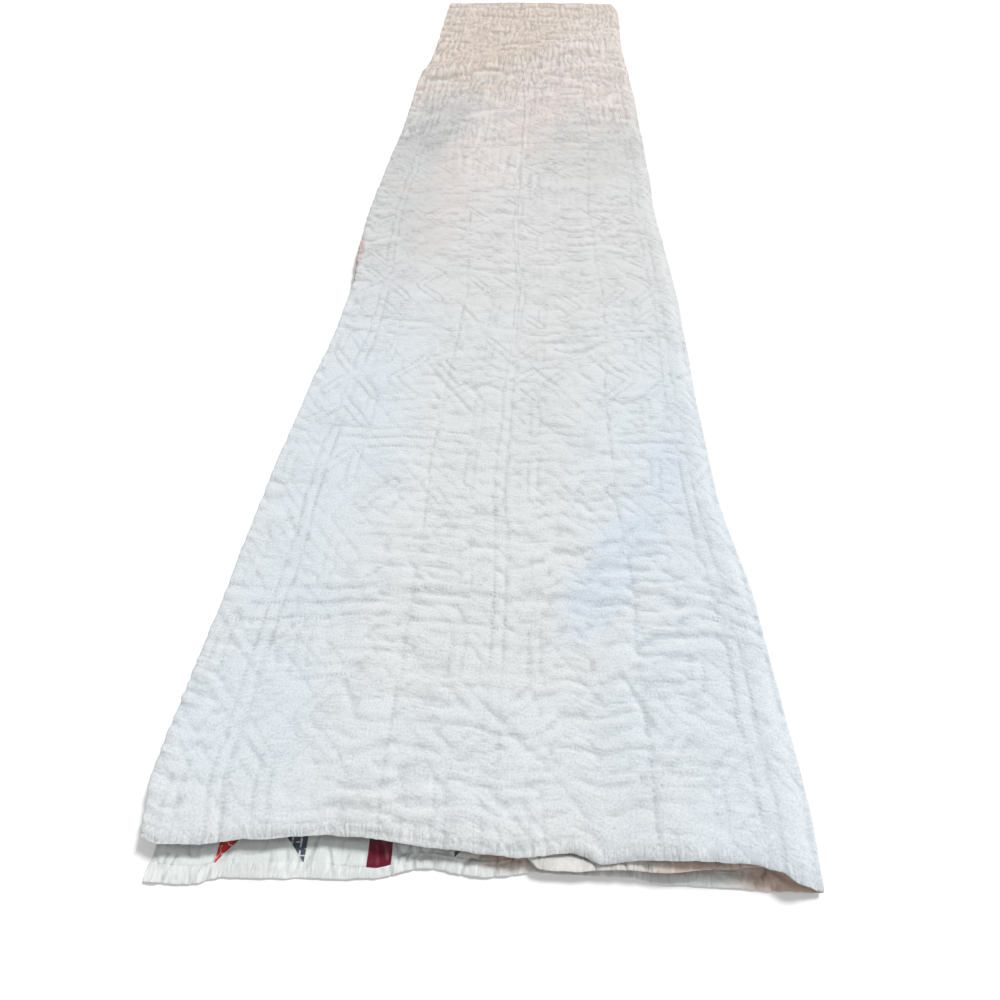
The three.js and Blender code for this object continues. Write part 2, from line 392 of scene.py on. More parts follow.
spots = np.meshgrid(np.arange(0, WIDTH, 5.0), np.arange(0, LENGTH, 5.0))
sample = loose_noise(*spots, 60, 45, 11)
print(f"noise from {sample.min():.2f} to {sample.max():.2f}, mean {sample.mean():.3f}")


# %% [markdown]
# ## The quilting
#
# The back shows where the stitches run: bands of three lines across, pairs and single lines
# along, and in each field an eight-pointed star, each of its seams stitched on both sides.
# A star folds onto one eighth of itself, so three straight seams are enough to draw it.
# Every line is a soft trough, kept in one of four families by its direction, because the
# stitches in it run that way.

# %% Sizes of the quilting
FIELD = dict(across=177, down=175)
STAR_AT = dict(x=8, down=425)
STAR_SIZE = 146
BAND_AT = 163
BAND_LINES = (-14, -1, 12)
PAIR_LINES = (-5, 5)
SINGLE_AT = -62
BESIDE_SEAM = 4.5
TROUGH = 1.5  # half the width of a stitched trough
BAND_SAG = 20  # how far the bands bow at 200 mm from the middle
BAND_SAG_AT = 200
WANDER_ACROSS = [
    dict(height=2.4, across=60, down=45, seed=11),
    dict(height=1.1, across=16, down=13, seed=17),
]
WANDER_DOWN = [
    dict(height=2.8, across=45, down=60, seed=12),
    dict(height=1.2, across=13, down=16, seed=18),
]
print("stitched fields:", round(WIDTH / FIELD["across"], 1), "by", round(LENGTH / FIELD["down"], 1))


# %% Where the lines of stitches run
def trough(distance):
    return np.exp(-((distance / TROUGH) ** 2))


def to_seam(p, q, start, end):
    """The distance of a point from a straight seam."""
    (x0, y0), (x1, y1) = start, end
    run = np.hypot(x1 - x0, y1 - y0)
    ux, uy = (x1 - x0) / run, (y1 - y0) / run
    part = np.clip((p - x0) * ux + (q - y0) * uy, 0, run)
    return np.hypot(p - x0 - part * ux, q - y0 - part * uy)


def around(value, step):
    """Wraps a value to the nearest repeat, from minus to plus half a step."""
    return (value + step / 2) % step - step / 2


def star_seams(p, q):
    """The distance from a star's slanting seams, and from its straight ones."""
    a, b = np.minimum(abs(p), abs(q)), np.maximum(abs(p), abs(q))
    inner = STAR_SIZE * (1 - math.sqrt(0.5))
    tip = (STAR_SIZE * (math.sqrt(0.5) - 0.5), STAR_SIZE / 2)
    slanting = to_seam(a, b, (0, 0), (tip[0], tip[0]))
    slanting = np.minimum(slanting, to_seam(a, b, (0, inner), tip))
    return slanting, to_seam(a, b, (tip[0], tip[0]), tip)


def quilting(across, down):
    """The four families of stitched lines, 0 to 1 each: across, along, and the two slants."""
    x = TOP_RUN["start_x"] + TOP_RUN["start"] - across
    wander_x = layers(WANDER_ACROSS, across, down)
    sag = BAND_SAG * (x / BAND_SAG_AT) ** 2 * ease(150, 420, down) * (1 - ease(900, 1500, down))
    along = down + layers(WANDER_DOWN, across, down) - sag
    level_lines = np.zeros_like(across)
    for offset in BAND_LINES:
        place = around(along - BAND_AT - offset, FIELD["down"])
        level_lines = np.maximum(level_lines, trough(place))
    upright = trough(around(x + wander_x - SINGLE_AT, FIELD["across"]))
    for offset in PAIR_LINES:
        place = around(x + wander_x - STAR_AT["x"] - offset, FIELD["across"])
        upright = np.maximum(upright, trough(place))

    p = around(x + wander_x - STAR_AT["x"], FIELD["across"])
    q = around(along - STAR_AT["down"], FIELD["down"])
    slanting, straight = star_seams(p, q)
    slanted = trough(slanting - BESIDE_SEAM) * (0.4 + 0.5 * ease(250, 430, down))
    squared = trough(straight - BESIDE_SEAM) * (0.75 - 0.4 * ease(450, 700, down))
    level_lines = np.maximum(level_lines, squared * (abs(q) < abs(p)))
    upright = np.maximum(upright, squared * (abs(q) >= abs(p)))
    rising = p * q < 0  # x runs against across, so these lines rise with across
    families = (level_lines, upright, slanted * rising, slanted * ~rising)
    # Worn stitches: in places a family fades. Lines across and along never fade entirely.
    seeds, least = (13, 14, 15, 16), (0.12, 0.3, 0, 0)
    kept = [ease(-0.75, 0.45, loose_noise(across, down, 40, 34, seed)) for seed in seeds]
    return [line * (low + (1 - low) * share) for line, share, low in zip(families, kept, least)]


print("each star is", STAR_SIZE, "mm wide, and each band has", len(BAND_LINES), "lines")


# %% [markdown]
# ## Creases one by one
#
# Some wrinkles are one of a kind: the slanting creases near the middle, the soft folds beyond
# it, the steps on the long ridge. Each row places one, with its middle, its half length and
# its slope in degrees, and its depth: below 0 it is a ridge.

# %% Table of creases
CREASES = [
    dict(x=-60, down=418, half=46, slope=-50, width=3.0, depth=0.93),
    dict(x=-50, down=428, half=40, slope=-50, width=2.4, depth=-0.56),
    dict(x=48, down=436, half=16, slope=-50, width=3.0, depth=0.87),
    dict(x=92, down=442, half=14, slope=-45, width=3.0, depth=0.74),
    dict(x=118, down=408, half=20, slope=-30, width=3.0, depth=0.68),
    dict(x=150, down=410, half=16, slope=28, width=3.0, depth=0.62),
    dict(x=-52, down=548, half=18, slope=-52, width=3.0, depth=0.81),
    dict(x=22, down=72, half=34, slope=-42, width=2.8, depth=0.68),
    dict(x=-62, down=190, half=16, slope=-55, width=2.6, depth=0.68),
    dict(x=-96, down=88, half=16, slope=-60, width=2.8, depth=0.74),
    dict(x=-76, down=52, half=20, slope=20, width=3.6, depth=0.74),
    dict(x=80, down=275, half=30, slope=-48, width=3.0, depth=0.62),
    dict(x=60, down=215, half=60, slope=18, width=3.4, depth=0.62),
    dict(x=110, down=96, half=26, slope=-62, width=2.8, depth=0.81),
    dict(x=-30, down=172, half=80, slope=6, width=3.4, depth=0.68),
    dict(x=140, down=170, half=34, slope=0, width=3.2, depth=0.81),
    dict(x=-178, down=240, half=18, slope=-58, width=3.2, depth=0.74),
    dict(x=-175, down=717, half=22, slope=10, width=7.0, depth=-1.36),
    dict(x=-30, down=800, half=36, slope=12, width=6.0, depth=0.99),
    dict(x=-60, down=1060, half=60, slope=24, width=8.0, depth=0.7),
    dict(x=110, down=1140, half=90, slope=10, width=9.0, depth=0.77),
    dict(x=-150, down=1390, half=60, slope=30, width=10, depth=2),
    dict(x=-120, down=1405, half=75, slope=4, width=13, depth=-1.3),
    dict(x=-20, down=1450, half=62, slope=38, width=11, depth=-1.3),
    dict(x=70, down=1540, half=50, slope=48, width=11, depth=1.1),
    dict(x=60, down=1700, half=120, slope=40, width=24, depth=1.2),
    dict(x=-60, down=1600, half=40, slope=30, width=12, depth=-1.1),
    dict(x=-110, down=1790, half=44, slope=36, width=13, depth=-1.4),
    dict(x=-86, down=1850, half=60, slope=-14, width=14, depth=1.3),
    dict(x=10, down=1900, half=44, slope=18, width=14, depth=-1.2),
    dict(x=110, down=1840, half=36, slope=58, width=13, depth=1.1),
    dict(x=-30, down=1700, half=30, slope=-30, width=12, depth=1.2),
    dict(x=40, down=1290, half=46, slope=34, width=10, depth=-1.0),
    dict(x=110, down=1110, half=60, slope=8, width=10, depth=-1.0),
    dict(x=-70, down=1180, half=56, slope=26, width=10, depth=-0.9),
    dict(x=-100, down=760, half=44, slope=18, width=8, depth=0.8),
    dict(x=-40, down=735, half=34, slope=-16, width=8, depth=0.8),
]


def creasing(table, x, down):
    height = np.zeros_like(x)
    for crease in table:
        slope = math.radians(crease["slope"])
        beside, beyond = x - crease["x"], down - crease["down"]
        run = beside * math.cos(slope) + beyond * math.sin(slope)
        off = -beside * math.sin(slope) + beyond * math.cos(slope)
        near = np.exp(-((off / crease["width"]) ** 2) - (run / crease["half"]) ** 4)
        height -= crease["depth"] * near
    return height


print("creases:", len(CREASES))


# %% [markdown]
# ## The relief of the back
#
# Washing shrinks the cotton, but not the thread, so the cloth puffs up between the lines and
# crinkles beside them. Near the foot the crinkles are fine and run across, further on they
# grow coarser, and past the middle they give way to ribs that run along. The back was joined
# from two widths, so one seam runs along it, and down its right side a ladder of short
# gathers. All of it is a height added to the mesh itself, so it is there from every side and
# in the exported shape.

# %% Tables of the relief
BEND = [
    dict(height=8, across=60, down=40, seed=21),
    dict(height=4.5, across=22, down=18, seed=22),
]
FINE_WRINKLES = [
    dict(height=0.75, across=26, down=3.9, seed=26, bent=0.3),
    dict(height=1.3, across=34, down=6.0, seed=50, bent=0.3, sharp=True, lift=0.4),
]
COARSE_WRINKLES = [
    dict(height=0.8, across=36, down=5.2, seed=24, bent=1),
    dict(height=1.35, across=46, down=8.2, seed=25, bent=1, sharp=True, lift=0.45),
]
LONG_WRINKLES = [
    dict(height=0.55, across=90, down=14, seed=48, bent=0.6, sharp=True, lift=0.15),
]
RIBS = [
    dict(height=1.4, across=4.4, down=50, seed=27, lean=0.2),
    dict(height=2.0, across=9, down=70, seed=28, lean=0.3, sharp=True, lift=0.7),
]
RIB_BREAKS = [
    dict(height=1.3, across=34, down=20, seed=36, bent=1.5),
    dict(height=1.2, across=60, down=46, seed=47, bent=2.5, sharp=True, lift=0.4),
]
GATHERS = [
    dict(height=0.8, across=30, down=2.6, seed=34),
    dict(height=0.5, across=30, down=6, seed=35, sharp=True),
]
BACKING_SEAM = [
    dict(at=400, x=8),
    dict(at=800, x=8),
    dict(at=1150, x=2),
    dict(at=1480, x=-7),
    dict(at=1900, x=-20),
]
LADDER = [
    dict(at=60, x=112),
    dict(at=200, x=124),
    dict(at=260, x=170),
    dict(at=500, x=178),
]
CALM_STRIP = dict(x=-140, half=55, share=0.62)
RIBS_FROM = dict(down=1180, over=330)
STITCH_DEPTH = 0.66
DEEPEST = 1.1  # deeper than this the back would reach the front
SOFT_LIMIT = 0.7
every_wrinkle = [*FINE_WRINKLES, *COARSE_WRINKLES, *LONG_WRINKLES, *RIBS, *RIB_BREAKS]
print("wrinkles from", min(min(row["across"], row["down"]) for row in every_wrinkle), "mm")


# %% How strong the wrinkles are, and where they turn
def strength_of(across, down, x):
    """From almost smooth, in a strip at the left, to strong near the left edge itself."""
    strength = np.clip(0.6 + 0.55 * loose_noise(across, down, 80, 60, 23), 0.12, 1.2)
    calm = np.exp(-(((x - CALM_STRIP["x"]) / CALM_STRIP["half"]) ** 2))
    strength = strength * (1 - CALM_STRIP["share"] * calm)
    strength += (0.15 + 0.5 * ease(400, 700, down)) * ease(-176, -206, x)
    return strength * (1 - 0.5 * ease(150, 200, x))


def ribbed(across, down):
    """0 where the wrinkles run across, 1 where they run along."""
    turned = (down - RIBS_FROM["down"]) / RIBS_FROM["over"]
    return ease(-1, 1, turned + 0.8 * loose_noise(across, down, 80, 110, 39))


# %% Relief of the back
def washed_relief(across, down, x):
    """Wrinkles that run across, turning to ribs that run along."""
    bend = layers(BEND, across, down)
    fine = layers(FINE_WRINKLES, across, down, bend)
    coarse = layers(COARSE_WRINKLES, across, down, bend)
    wrinkles = fine + (coarse - fine) * ease(150, 560, down)
    wrinkles += layers(LONG_WRINKLES, across, down, bend)
    ribs = layers(RIBS, across, down, bend)
    ribs = ribs * (0.75 + 0.5 * loose_noise(across, down, 38, 90, 37))
    ribs += layers(RIB_BREAKS, across, down, bend)
    uneven = 0.45 * loose_noise(across, down, 11, 9, 29)
    uneven += 0.7 * crinkles(across - down * 0.9, across + down, 16, 44, 30)
    strength, turned = strength_of(across, down, x), ribbed(across, down)
    height = strength * (1 - turned) * wrinkles
    return height + (0.68 + 0.55 * strength) * turned * ribs + 0.6 * uneven


def sewn_relief(across, down, x):
    """The ladder of gathers, and how deep the backing's own seam lies."""
    beside = (x - read(LADDER, "x", down)) / 8
    ladder = np.exp(-(beside**2)) * ease(60, 130, down) * (1 - ease(420, 500, down))
    gathers = ladder * layers(GATHERS, across, down)
    off = x - read(BACKING_SEAM, "x", down) - 1.2 * loose_noise(across, down, 40, 40, 33)
    seam = 0.8 * trough(off / 0.9) - 0.3 * trough((off - 3) / 1.3)
    return gathers, ease(430, 560, down) * seam


def back_relief(across, down):
    x = TOP_RUN["start_x"] + TOP_RUN["start"] - across
    gathers, seam = sewn_relief(across, down, x)
    height = washed_relief(across, down, x) + gathers
    height -= STITCH_DEPTH * np.max(quilting(across, down), axis=0)
    height = height * (0.94 - 0.08 * ease(150, 450, down)) - seam
    height += creasing(CREASES, x, down) + hem_tucks(across, down)
    deeper = -DEEPEST + SOFT_LIMIT * np.tanh((height + DEEPEST) / SOFT_LIMIT)
    return np.where(height < -DEEPEST, deeper, height)


def hem_tucks(across, down):
    """Small tucks square to a hem, drawn up by the stitches of its binding."""
    hem = np.minimum(down, LENGTH - down)
    share = np.exp(-((hem / 13) ** 2)) * (0.7 + 0.6 * loose_noise(across, down, 42, 400, 38))
    lean = across + 1.5 * loose_noise(across, down, 12, 8, 40)
    tucks = 0.16 * loose_noise(lean, down, 3.4, 30, 31) + 0.5 * crinkles(lean, down, 9, 30, 32)
    return share * tucks - 0.15 * trough(hem - BINDING)


def showing(across):
    """1 where the back lies outside on top, and 0 where other layers press it flat."""
    rises = ease(OUTER_TURN["start"] + 3, OUTER_TURN["start"] + 7, across)
    sinks = ease(CENTRE_TURN["start"] + 1.5, CENTRE_TURN["start"] + 4.5, across)
    return rises * (1 - sinks)


# %% [markdown]
# ## Meshes from rows and columns
#
# Each fabric is a grid over the open quilt. A cloth simulation would fold it too, but these
# folds are known, so the grid's points are placed on them directly. Rows and columns are
# close together where the cloth is seen near by, and far apart where it is hidden or flat,
# which spends the triangles where they show. The grid's own coordinates go into a UV map, in
# metres.

# %% Grid to mesh
def mesh_from_grid(name, points, across, down, flip=False):
    rows, columns = across.shape
    corner = np.arange(rows * columns).reshape(rows, columns)
    quads = np.stack([corner[:-1, :-1], corner[:-1, 1:], corner[1:, 1:], corner[1:, :-1]], axis=-1)
    quads = quads.reshape(-1, 4)
    if flip:
        quads = quads[:, ::-1]
    mesh = bpy.data.meshes.new(name)
    mesh.vertices.add(rows * columns)
    mesh.vertices.foreach_set("co", placed(points).astype(np.float32).ravel())
    mesh.loops.add(quads.size)
    mesh.loops.foreach_set("vertex_index", quads.astype(np.int32).ravel())
    mesh.polygons.add(len(quads))
    mesh.polygons.foreach_set("loop_start", np.arange(0, quads.size, 4, dtype=np.int32))
    mesh.polygons.foreach_set("use_smooth", np.ones(len(quads), bool))
    mesh.update(calc_edges=True)
    flat = np.stack([across.ravel(), down.ravel()], axis=-1) * MM
    layer = mesh.uv_layers.new(name="open_quilt")
    layer.uv.foreach_set("vector", flat[quads.ravel()].astype(np.float32).ravel())
    piece = bpy.data.objects.new(name, mesh)
    bpy.context.scene.collection.objects.link(piece)
    print(f"{name}: {rows} rows, {columns} columns, {2 * len(quads)} triangles")
    return piece


# %% Spacing of rows and columns
def steps(start, end, first, growth=0.0):
    """Places from start to end, whose spacing grows with the distance from the start."""
    count = (end - start) / first
    if growth:
        count = math.log(1 + growth * (end - start) / first) / growth
    count = max(round(count), 1)
    part = np.arange(count + 1) / count
    if growth:
        part = (np.exp(growth * part * count) - 1) / (math.exp(growth * count) - 1)
    return start + (end - start) * part


def columns_of(top_step, fold_steps, bottom_step, inner_step):
    """Places over the open quilt's width, with a step for each kind of stretch."""
    places = []
    for stretch in STRETCHES:
        step = inner_step
        if "fold" in stretch:
            step = stretch["size"] / fold_steps
        elif stretch["level"] == TOP:
            step = top_step
        elif stretch["level"] == 0:
            step = bottom_step
        places.append(steps(stretch["start"], stretch["start"] + stretch["size"], step)[:-1])
    return np.concatenate([*places, [WIDTH]])


print("steps that grow:", steps(0, 20, 1, 0.3).round(1))


# %% Values kept on the mesh
def keep_stitches(piece, lines):
    """Stores the four families of lines on the mesh, for the material's small stitches."""
    store = piece.data.color_attributes.new("stitching", "FLOAT_COLOR", "POINT")
    values = np.stack([line.ravel() for line in lines], axis=-1)
    store.data.foreach_set("color", values.astype(np.float32).ravel())


def keep_value(piece, name, values):
    store = piece.data.attributes.new(name, "FLOAT", "POINT")
    store.data.foreach_set("value", values.astype(np.float32).ravel())


def keep_hollows(piece, relief, down_of, reach=3):
    """How far each point lies below its neighbours: the mask of painted shade and highlight."""
    around_it = np.zeros_like(relief)
    for step in range(1, reach + 1):
        for axis in (0, 1):
            around_it += np.roll(relief, step, axis) + np.roll(relief, -step, axis)
    hollow = np.clip((around_it / (4 * reach) - relief) / 0.5, -1, 1)
    hollow = hollow * (1 + 0.15 * ease(1000, 1500, down_of))
    keep_value(piece, "hollows", hollow)


def keep_mouth(piece, across, down):
    """How near each point lies under the hem of the layers above it: painted shade goes there."""
    near = np.zeros_like(across)
    for stretch in STRETCHES:
        level = stretch.get("level", TOP)
        inside = (across >= stretch["start"]) & (across <= stretch["start"] + stretch["size"])
        if level == TOP or not inside.any():
            continue
        x, along, _ = middle_of(across[inside], down[inside])
        hems = [-read(LEVELS[above]["foot_hem"], "out", x) for above in range(level + 1, TOP + 1)]
        beyond = along - np.min(hems, axis=0) + loose_noise(across[inside], down[inside], 8, 30, 61)
        band = 0.8 * ease(-2.4, 0.4, beyond) + 0.2 * ease(-7, 0, beyond)
        near[inside] = band * (1 - 0.85 * ease(0.3, 3.2, beyond))
    near = near * (0.8 + 0.2 * loose_noise(across, down, 34, 40, 62))
    keep_value(piece, "mouth", near)


# %% Where the binding covers the fabrics
TAPE_WIDTH = [
    dict(at=0, width=8.6),
    dict(at=100, width=8),
    dict(at=145, width=4.8),
    dict(at=190, width=6.5),
    dict(at=420, width=7.5),
    dict(at=450, width=7),
    dict(at=1676, width=7),
]


def tape_width(across):
    """The binding at the foot was folded over unevenly by hand."""
    return read(TAPE_WIDTH, "width", across)


def under_tape(across, down):
    """Sinks the margin of a fabric, so that the binding covers it cleanly."""
    at_foot = down * BINDING / tape_width(across)
    in_from_edge = np.minimum.reduce([at_foot, LENGTH - down, across, WIDTH - across])
    return 0.5 * (1 - ease(BINDING - 0.9, BINDING + 0.2, in_from_edge))


print("binding at its narrowest:", min(row["width"] for row in TAPE_WIDTH), "mm")


# %% [markdown]
# ## The plain back
#
# One piece of white cotton covers the whole outside. Its mesh starts just inside the binding
# and follows the spiral of the fold from edge to edge.

# %% Plain back
MARGIN = 3.6  # the fabrics start this far in, under the narrowest part of the binding
UNDER = 1.5  # how far the fabrics reach under the other bindings


def inside_bindings(columns):
    return np.clip(columns, BINDING - UNDER, WIDTH - BINDING + UNDER)


LAST_ROW = LENGTH - BINDING + UNDER
back_columns = columns_of(top_step=2.35, fold_steps=9, bottom_step=60, inner_step=70)
back_columns = inside_bindings(back_columns)
back_rows = steps(MARGIN, LAST_ROW, 1.82, 0.0037)
across, down = np.meshgrid(back_columns, back_rows)
relief = back_relief(across, down) * showing(across)
lines = [line * showing(across) for line in quilting(across, down)]
back_points = cloth_at(across, down, -(THICKNESS / 2 + relief - under_tape(across, down)))
plain_back = mesh_from_grid("plain_back", back_points, across, down)
keep_stitches(plain_back, lines)
keep_hollows(plain_back, relief, down)

# %% [markdown]
# ## The pieced front
#
# The front is inside the fold. Only a strip of it shows, where the bottom layer reaches out
# at the foot, so its grid is fine there and coarse elsewhere. The strip is drawn up by the
# binding's stitches: fine gathers come from noise, and the larger puckers from a short table.

# %% Pieced front
PUCKERS = [
    dict(x=-199, down=9, half=7, slope=76, width=1.4, depth=0.6),
    dict(x=-194, down=8, half=8, slope=70, width=1.4, depth=0.7),
    dict(x=-180, down=5, half=5, slope=100, width=1.4, depth=0.5),
    dict(x=-168, down=7, half=7, slope=82, width=1.5, depth=0.6),
    dict(x=-158, down=16, half=8, slope=62, width=1.6, depth=0.7),
    dict(x=-131, down=7, half=7, slope=96, width=1.5, depth=0.6),
    dict(x=-120, down=8, half=8, slope=104, width=1.5, depth=0.7),
    dict(x=-113, down=6, half=6, slope=84, width=1.3, depth=0.5),
    dict(x=-105, down=14, half=9, slope=72, width=1.7, depth=0.9),
    dict(x=-92, down=9, half=8, slope=110, width=1.5, depth=0.7),
    dict(x=-83, down=8, half=7, slope=80, width=1.4, depth=0.6),
    dict(x=-60, down=10, half=8, slope=100, width=1.6, depth=0.9),
    dict(x=-55, down=8, half=8, slope=84, width=1.4, depth=0.8),
    dict(x=-50, down=11, half=9, slope=96, width=1.6, depth=1.0),
    dict(x=-44, down=8, half=7, slope=78, width=1.5, depth=0.9),
    dict(x=-36, down=9, half=8, slope=98, width=1.5, depth=0.8),
    dict(x=-28, down=8, half=7, slope=86, width=1.4, depth=0.7),
]


def front_relief(across, down):
    uneven = np.clip(0.5 + 1.1 * loose_noise(across, down, 40, 60, 45), 0.05, 1.4)
    gathers = np.exp(-((down / 26) ** 2)) * uneven
    lean = across + 2.2 * loose_noise(across, down, 14, 9, 46)
    height = gathers * 0.3 * loose_noise(lean, down, 3.4, 16, 41)
    height += gathers * 1.5 * crinkles(lean, down, 9, 20, 42) + gathers * 0.5
    height += 0.4 * crinkles(across, down, 16, 9, 44) + 0.16 * loose_noise(across, down, 9, 9, 43)
    height += creasing(PUCKERS, OUTER_SIDE_X + across, down)
    return np.maximum(height - 0.3 * trough(down - tape_width(across)), -0.9)


front_columns = columns_of(top_step=12, fold_steps=6, bottom_step=0.98, inner_step=14)
front_columns = inside_bindings(front_columns)
FINE_UNTIL = 60  # past this far in, nothing of the front can be seen
front_rows = [steps(MARGIN, FINE_UNTIL, 1.1)[:-1], steps(FINE_UNTIL, LAST_ROW, 7, 0.01)]
front_rows = np.concatenate(front_rows)
across, down = np.meshgrid(front_columns, front_rows)
relief = front_relief(across, down) * (1 - ease(40, 90, down))
front_points = cloth_at(across, down, THICKNESS / 2 + relief - under_tape(across, down))
pieced_front = mesh_from_grid("pieced_front", front_points, across, down, flip=True)
keep_hollows(pieced_front, relief, down)
keep_mouth(pieced_front, across, down)

# %% [markdown]
# ## The binding
#
# A folded tape caps each edge. Its section is a flat loop: in along the front, round the
# edge, and back along the back. Sweeping it edge by edge makes four pieces, as a quilter
# joins them, and the same small tucks run through tape and cloth.

# %% Binding tapes
TAPE_PROUD = 0.04  # how far the tape stands off the cloth that it covers
THIN_EDGE = 0.4  # the edge is pressed to this share of the cloth's thickness


def tape_section():
    """Depth in from the edge and share of half the thickness, from the front to the back."""
    run = [(BINDING + 1.2, 0.75), (BINDING + 0.3, 0.96), (BINDING - 0.6, 1.0), (6.4, 1.0)]
    run += [(4.8, 1.0), (3.2, 0.98), (1.8, 0.92)]
    angles = np.linspace(0.5, math.pi - 0.5, 6)
    turn = [(0.9 - 0.9 * math.sin(t), 0.85 * math.cos(t)) for t in angles]
    other = [(depth, -share) for depth, share in reversed(run)]
    return run + turn + other


def tape(name, edge_length, spacing, place_on, flip, finer=0.0):
    """Sweeps the section along one edge. place_on turns (run, depth) into (across, down)."""
    section = np.array(tape_section())
    run, number = np.meshgrid(steps(0, edge_length, spacing, finer), np.arange(len(section)))
    depth, share = section[number, 0], section[number, 1]
    across, down = place_on(run, depth)
    half = THICKNESS / 2 * (THIN_EDGE + (1 - THIN_EDGE) * ease(0, BINDING - 1, depth)) + TAPE_PROUD
    shown = showing(across)
    swell = front_relief(across, down) * (1 - shown) - back_relief(across, down) * shown
    points = cloth_at(across, down, share * half + np.clip(swell, -0.8, 1.3))
    at_edge = np.clip(1 - depth / BINDING, 0, 1)
    outwards = 0.22 * loose_noise(run, depth, 3.2, 90, 53)
    outwards += 0.35 * loose_noise(run, depth, 11, 90, 54)
    made = mesh_from_grid(name, points + outward(place_on, at_edge * outwards), across, down, flip)
    keep_hollows(made, swell * np.where(shown > 0.5, -1, 1), down)
    keep_mouth(made, across, down)
    stepped = [cloth_at(across, down, step * np.ones_like(share))[..., 2] for step in (0, 1)]
    keep_value(made, "front_side", share > 0)
    # the mask for painted shade on the tape's lower side
    keep_value(made, "underside", np.clip(-share * (stepped[1] - stepped[0]), 0, 1))
    return made


def outward(place_on, reach):
    """Steps out of a foot or head hem by the reach. Side edges are left as they are."""
    _, at_edge = place_on(np.array([100.0]), np.array([0.0]))
    _, further_in = place_on(np.array([100.0]), np.array([10.0]))
    return reach[..., None] * np.array([0.0, float(np.sign(at_edge[0] - further_in[0])), 0.0])


def on_foot(run, depth):
    return run, depth * tape_width(run) / BINDING


def on_head(run, depth):
    return run, LENGTH - depth


def on_outer_side(run, depth):
    return depth, run


def on_inner_side(run, depth):
    return WIDTH - depth, run


binding_foot = tape("binding_foot_tape", WIDTH, 1.2, on_foot, False)
binding_head = tape("binding_head_tape", WIDTH, 3.0, on_head, True)
binding_outer = tape("binding_outer_side_tape", LENGTH, 1.6, on_outer_side, True, 0.004)
binding_inner = tape("binding_inner_side_tape", LENGTH, 1.6, on_inner_side, False, 0.004)


# %% [markdown]
# ## Cotton as node groups
#
# All the fabrics are plain woven cotton, washed many times. One node group gives the weave's
# threads and slubs as a height, and a second one gives the fine sharp wrinkles that the mesh
# is too coarse for. Building a group once keeps the three materials alike.

# %% Helpers for node groups
NUMBER, COLOUR, VECTOR = "NodeSocketFloat", "NodeSocketColor", "NodeSocketVector"


def new_group(name, inputs, outputs):
    """A group from its sockets: rows of a name and a kind, and for an input its own value."""
    group = bpy.data.node_groups.new(name, "ShaderNodeTree")
    for socket, kind, default in inputs:
        made = group.interface.new_socket(socket, in_out="INPUT", socket_type=kind)
        if default is not None:
            made.default_value = default
    for socket, kind in outputs:
        group.interface.new_socket(socket, in_out="OUTPUT", socket_type=kind)
    return group, group.nodes.new("NodeGroupInput"), group.nodes.new("NodeGroupOutput")


def give(tree, socket, value):
    """Sets a socket to a number or a colour, or links another socket to it."""
    if isinstance(value, bpy.types.NodeSocket):
        tree.links.new(value, socket)
    else:
        socket.default_value = value


def place_group(tree, group, **values):
    """Places a node group and gives its named inputs their values."""
    node = tree.nodes.new("ShaderNodeGroup")
    node.node_tree = group
    for name, value in values.items():
        give(tree, node.inputs[name.replace("_", " ")], value)
    return node


def math_node(tree, operation, *values, clamp=False):
    """A Math node. Each value is a number or a socket."""
    node = tree.nodes.new("ShaderNodeMath")
    node.operation = operation
    node.use_clamp = clamp
    for socket, value in zip(node.inputs, values):
        give(tree, socket, value)
    return node.outputs[0]


def times(tree, first, second, clamp=False):
    return math_node(tree, "MULTIPLY", first, second, clamp=clamp)


def plus(tree, first, second, clamp=False):
    return math_node(tree, "ADD", first, second, clamp=clamp)


def minus(tree, first, second, clamp=False):
    return math_node(tree, "SUBTRACT", first, second, clamp=clamp)


def mix_colour(tree, factor, first, second, blend="MIX"):
    node = tree.nodes.new("ShaderNodeMix")
    node.data_type = "RGBA"
    node.blend_type = blend
    sockets = node.inputs[0], node.inputs[6], node.inputs[7]
    for socket, value in zip(sockets, (factor, first, second)):
        give(tree, socket, value)
    return node.outputs[2]


def noise_node(tree, vector, scale, detail=2.0, roughness=0.5):
    node = tree.nodes.new("ShaderNodeTexNoise")
    node.inputs["Scale"].default_value = scale
    node.inputs["Detail"].default_value = detail
    node.inputs["Roughness"].default_value = roughness
    tree.links.new(vector, node.inputs["Vector"])
    return node.outputs["Fac"]


def mottled(tree, vector, scale, roughness, first, second):
    """Two tones of one cloth, mixed by a noise."""
    return mix_colour(tree, noise_node(tree, vector, scale, 4, roughness), first, second)


def split_vector(tree, vector):
    """The x, y and z of a vector, as three sockets."""
    node = tree.nodes.new("ShaderNodeSeparateXYZ")
    tree.links.new(vector, node.inputs[0])
    return node.outputs


def built(group):
    """Prints a finished group and hands it on."""
    print(f"{group.name}: {len(group.nodes)} nodes")
    return group


def srgb(red, green, blue):
    """A colour as a dyer's card gives it, 0 to 255, for a shader's socket."""
    def linear(value):
        part = value / 255
        return part / 12.92 if part <= 0.04045 else ((part + 0.055) / 1.055) ** 2.4
    return (linear(red), linear(green), linear(blue), 1)


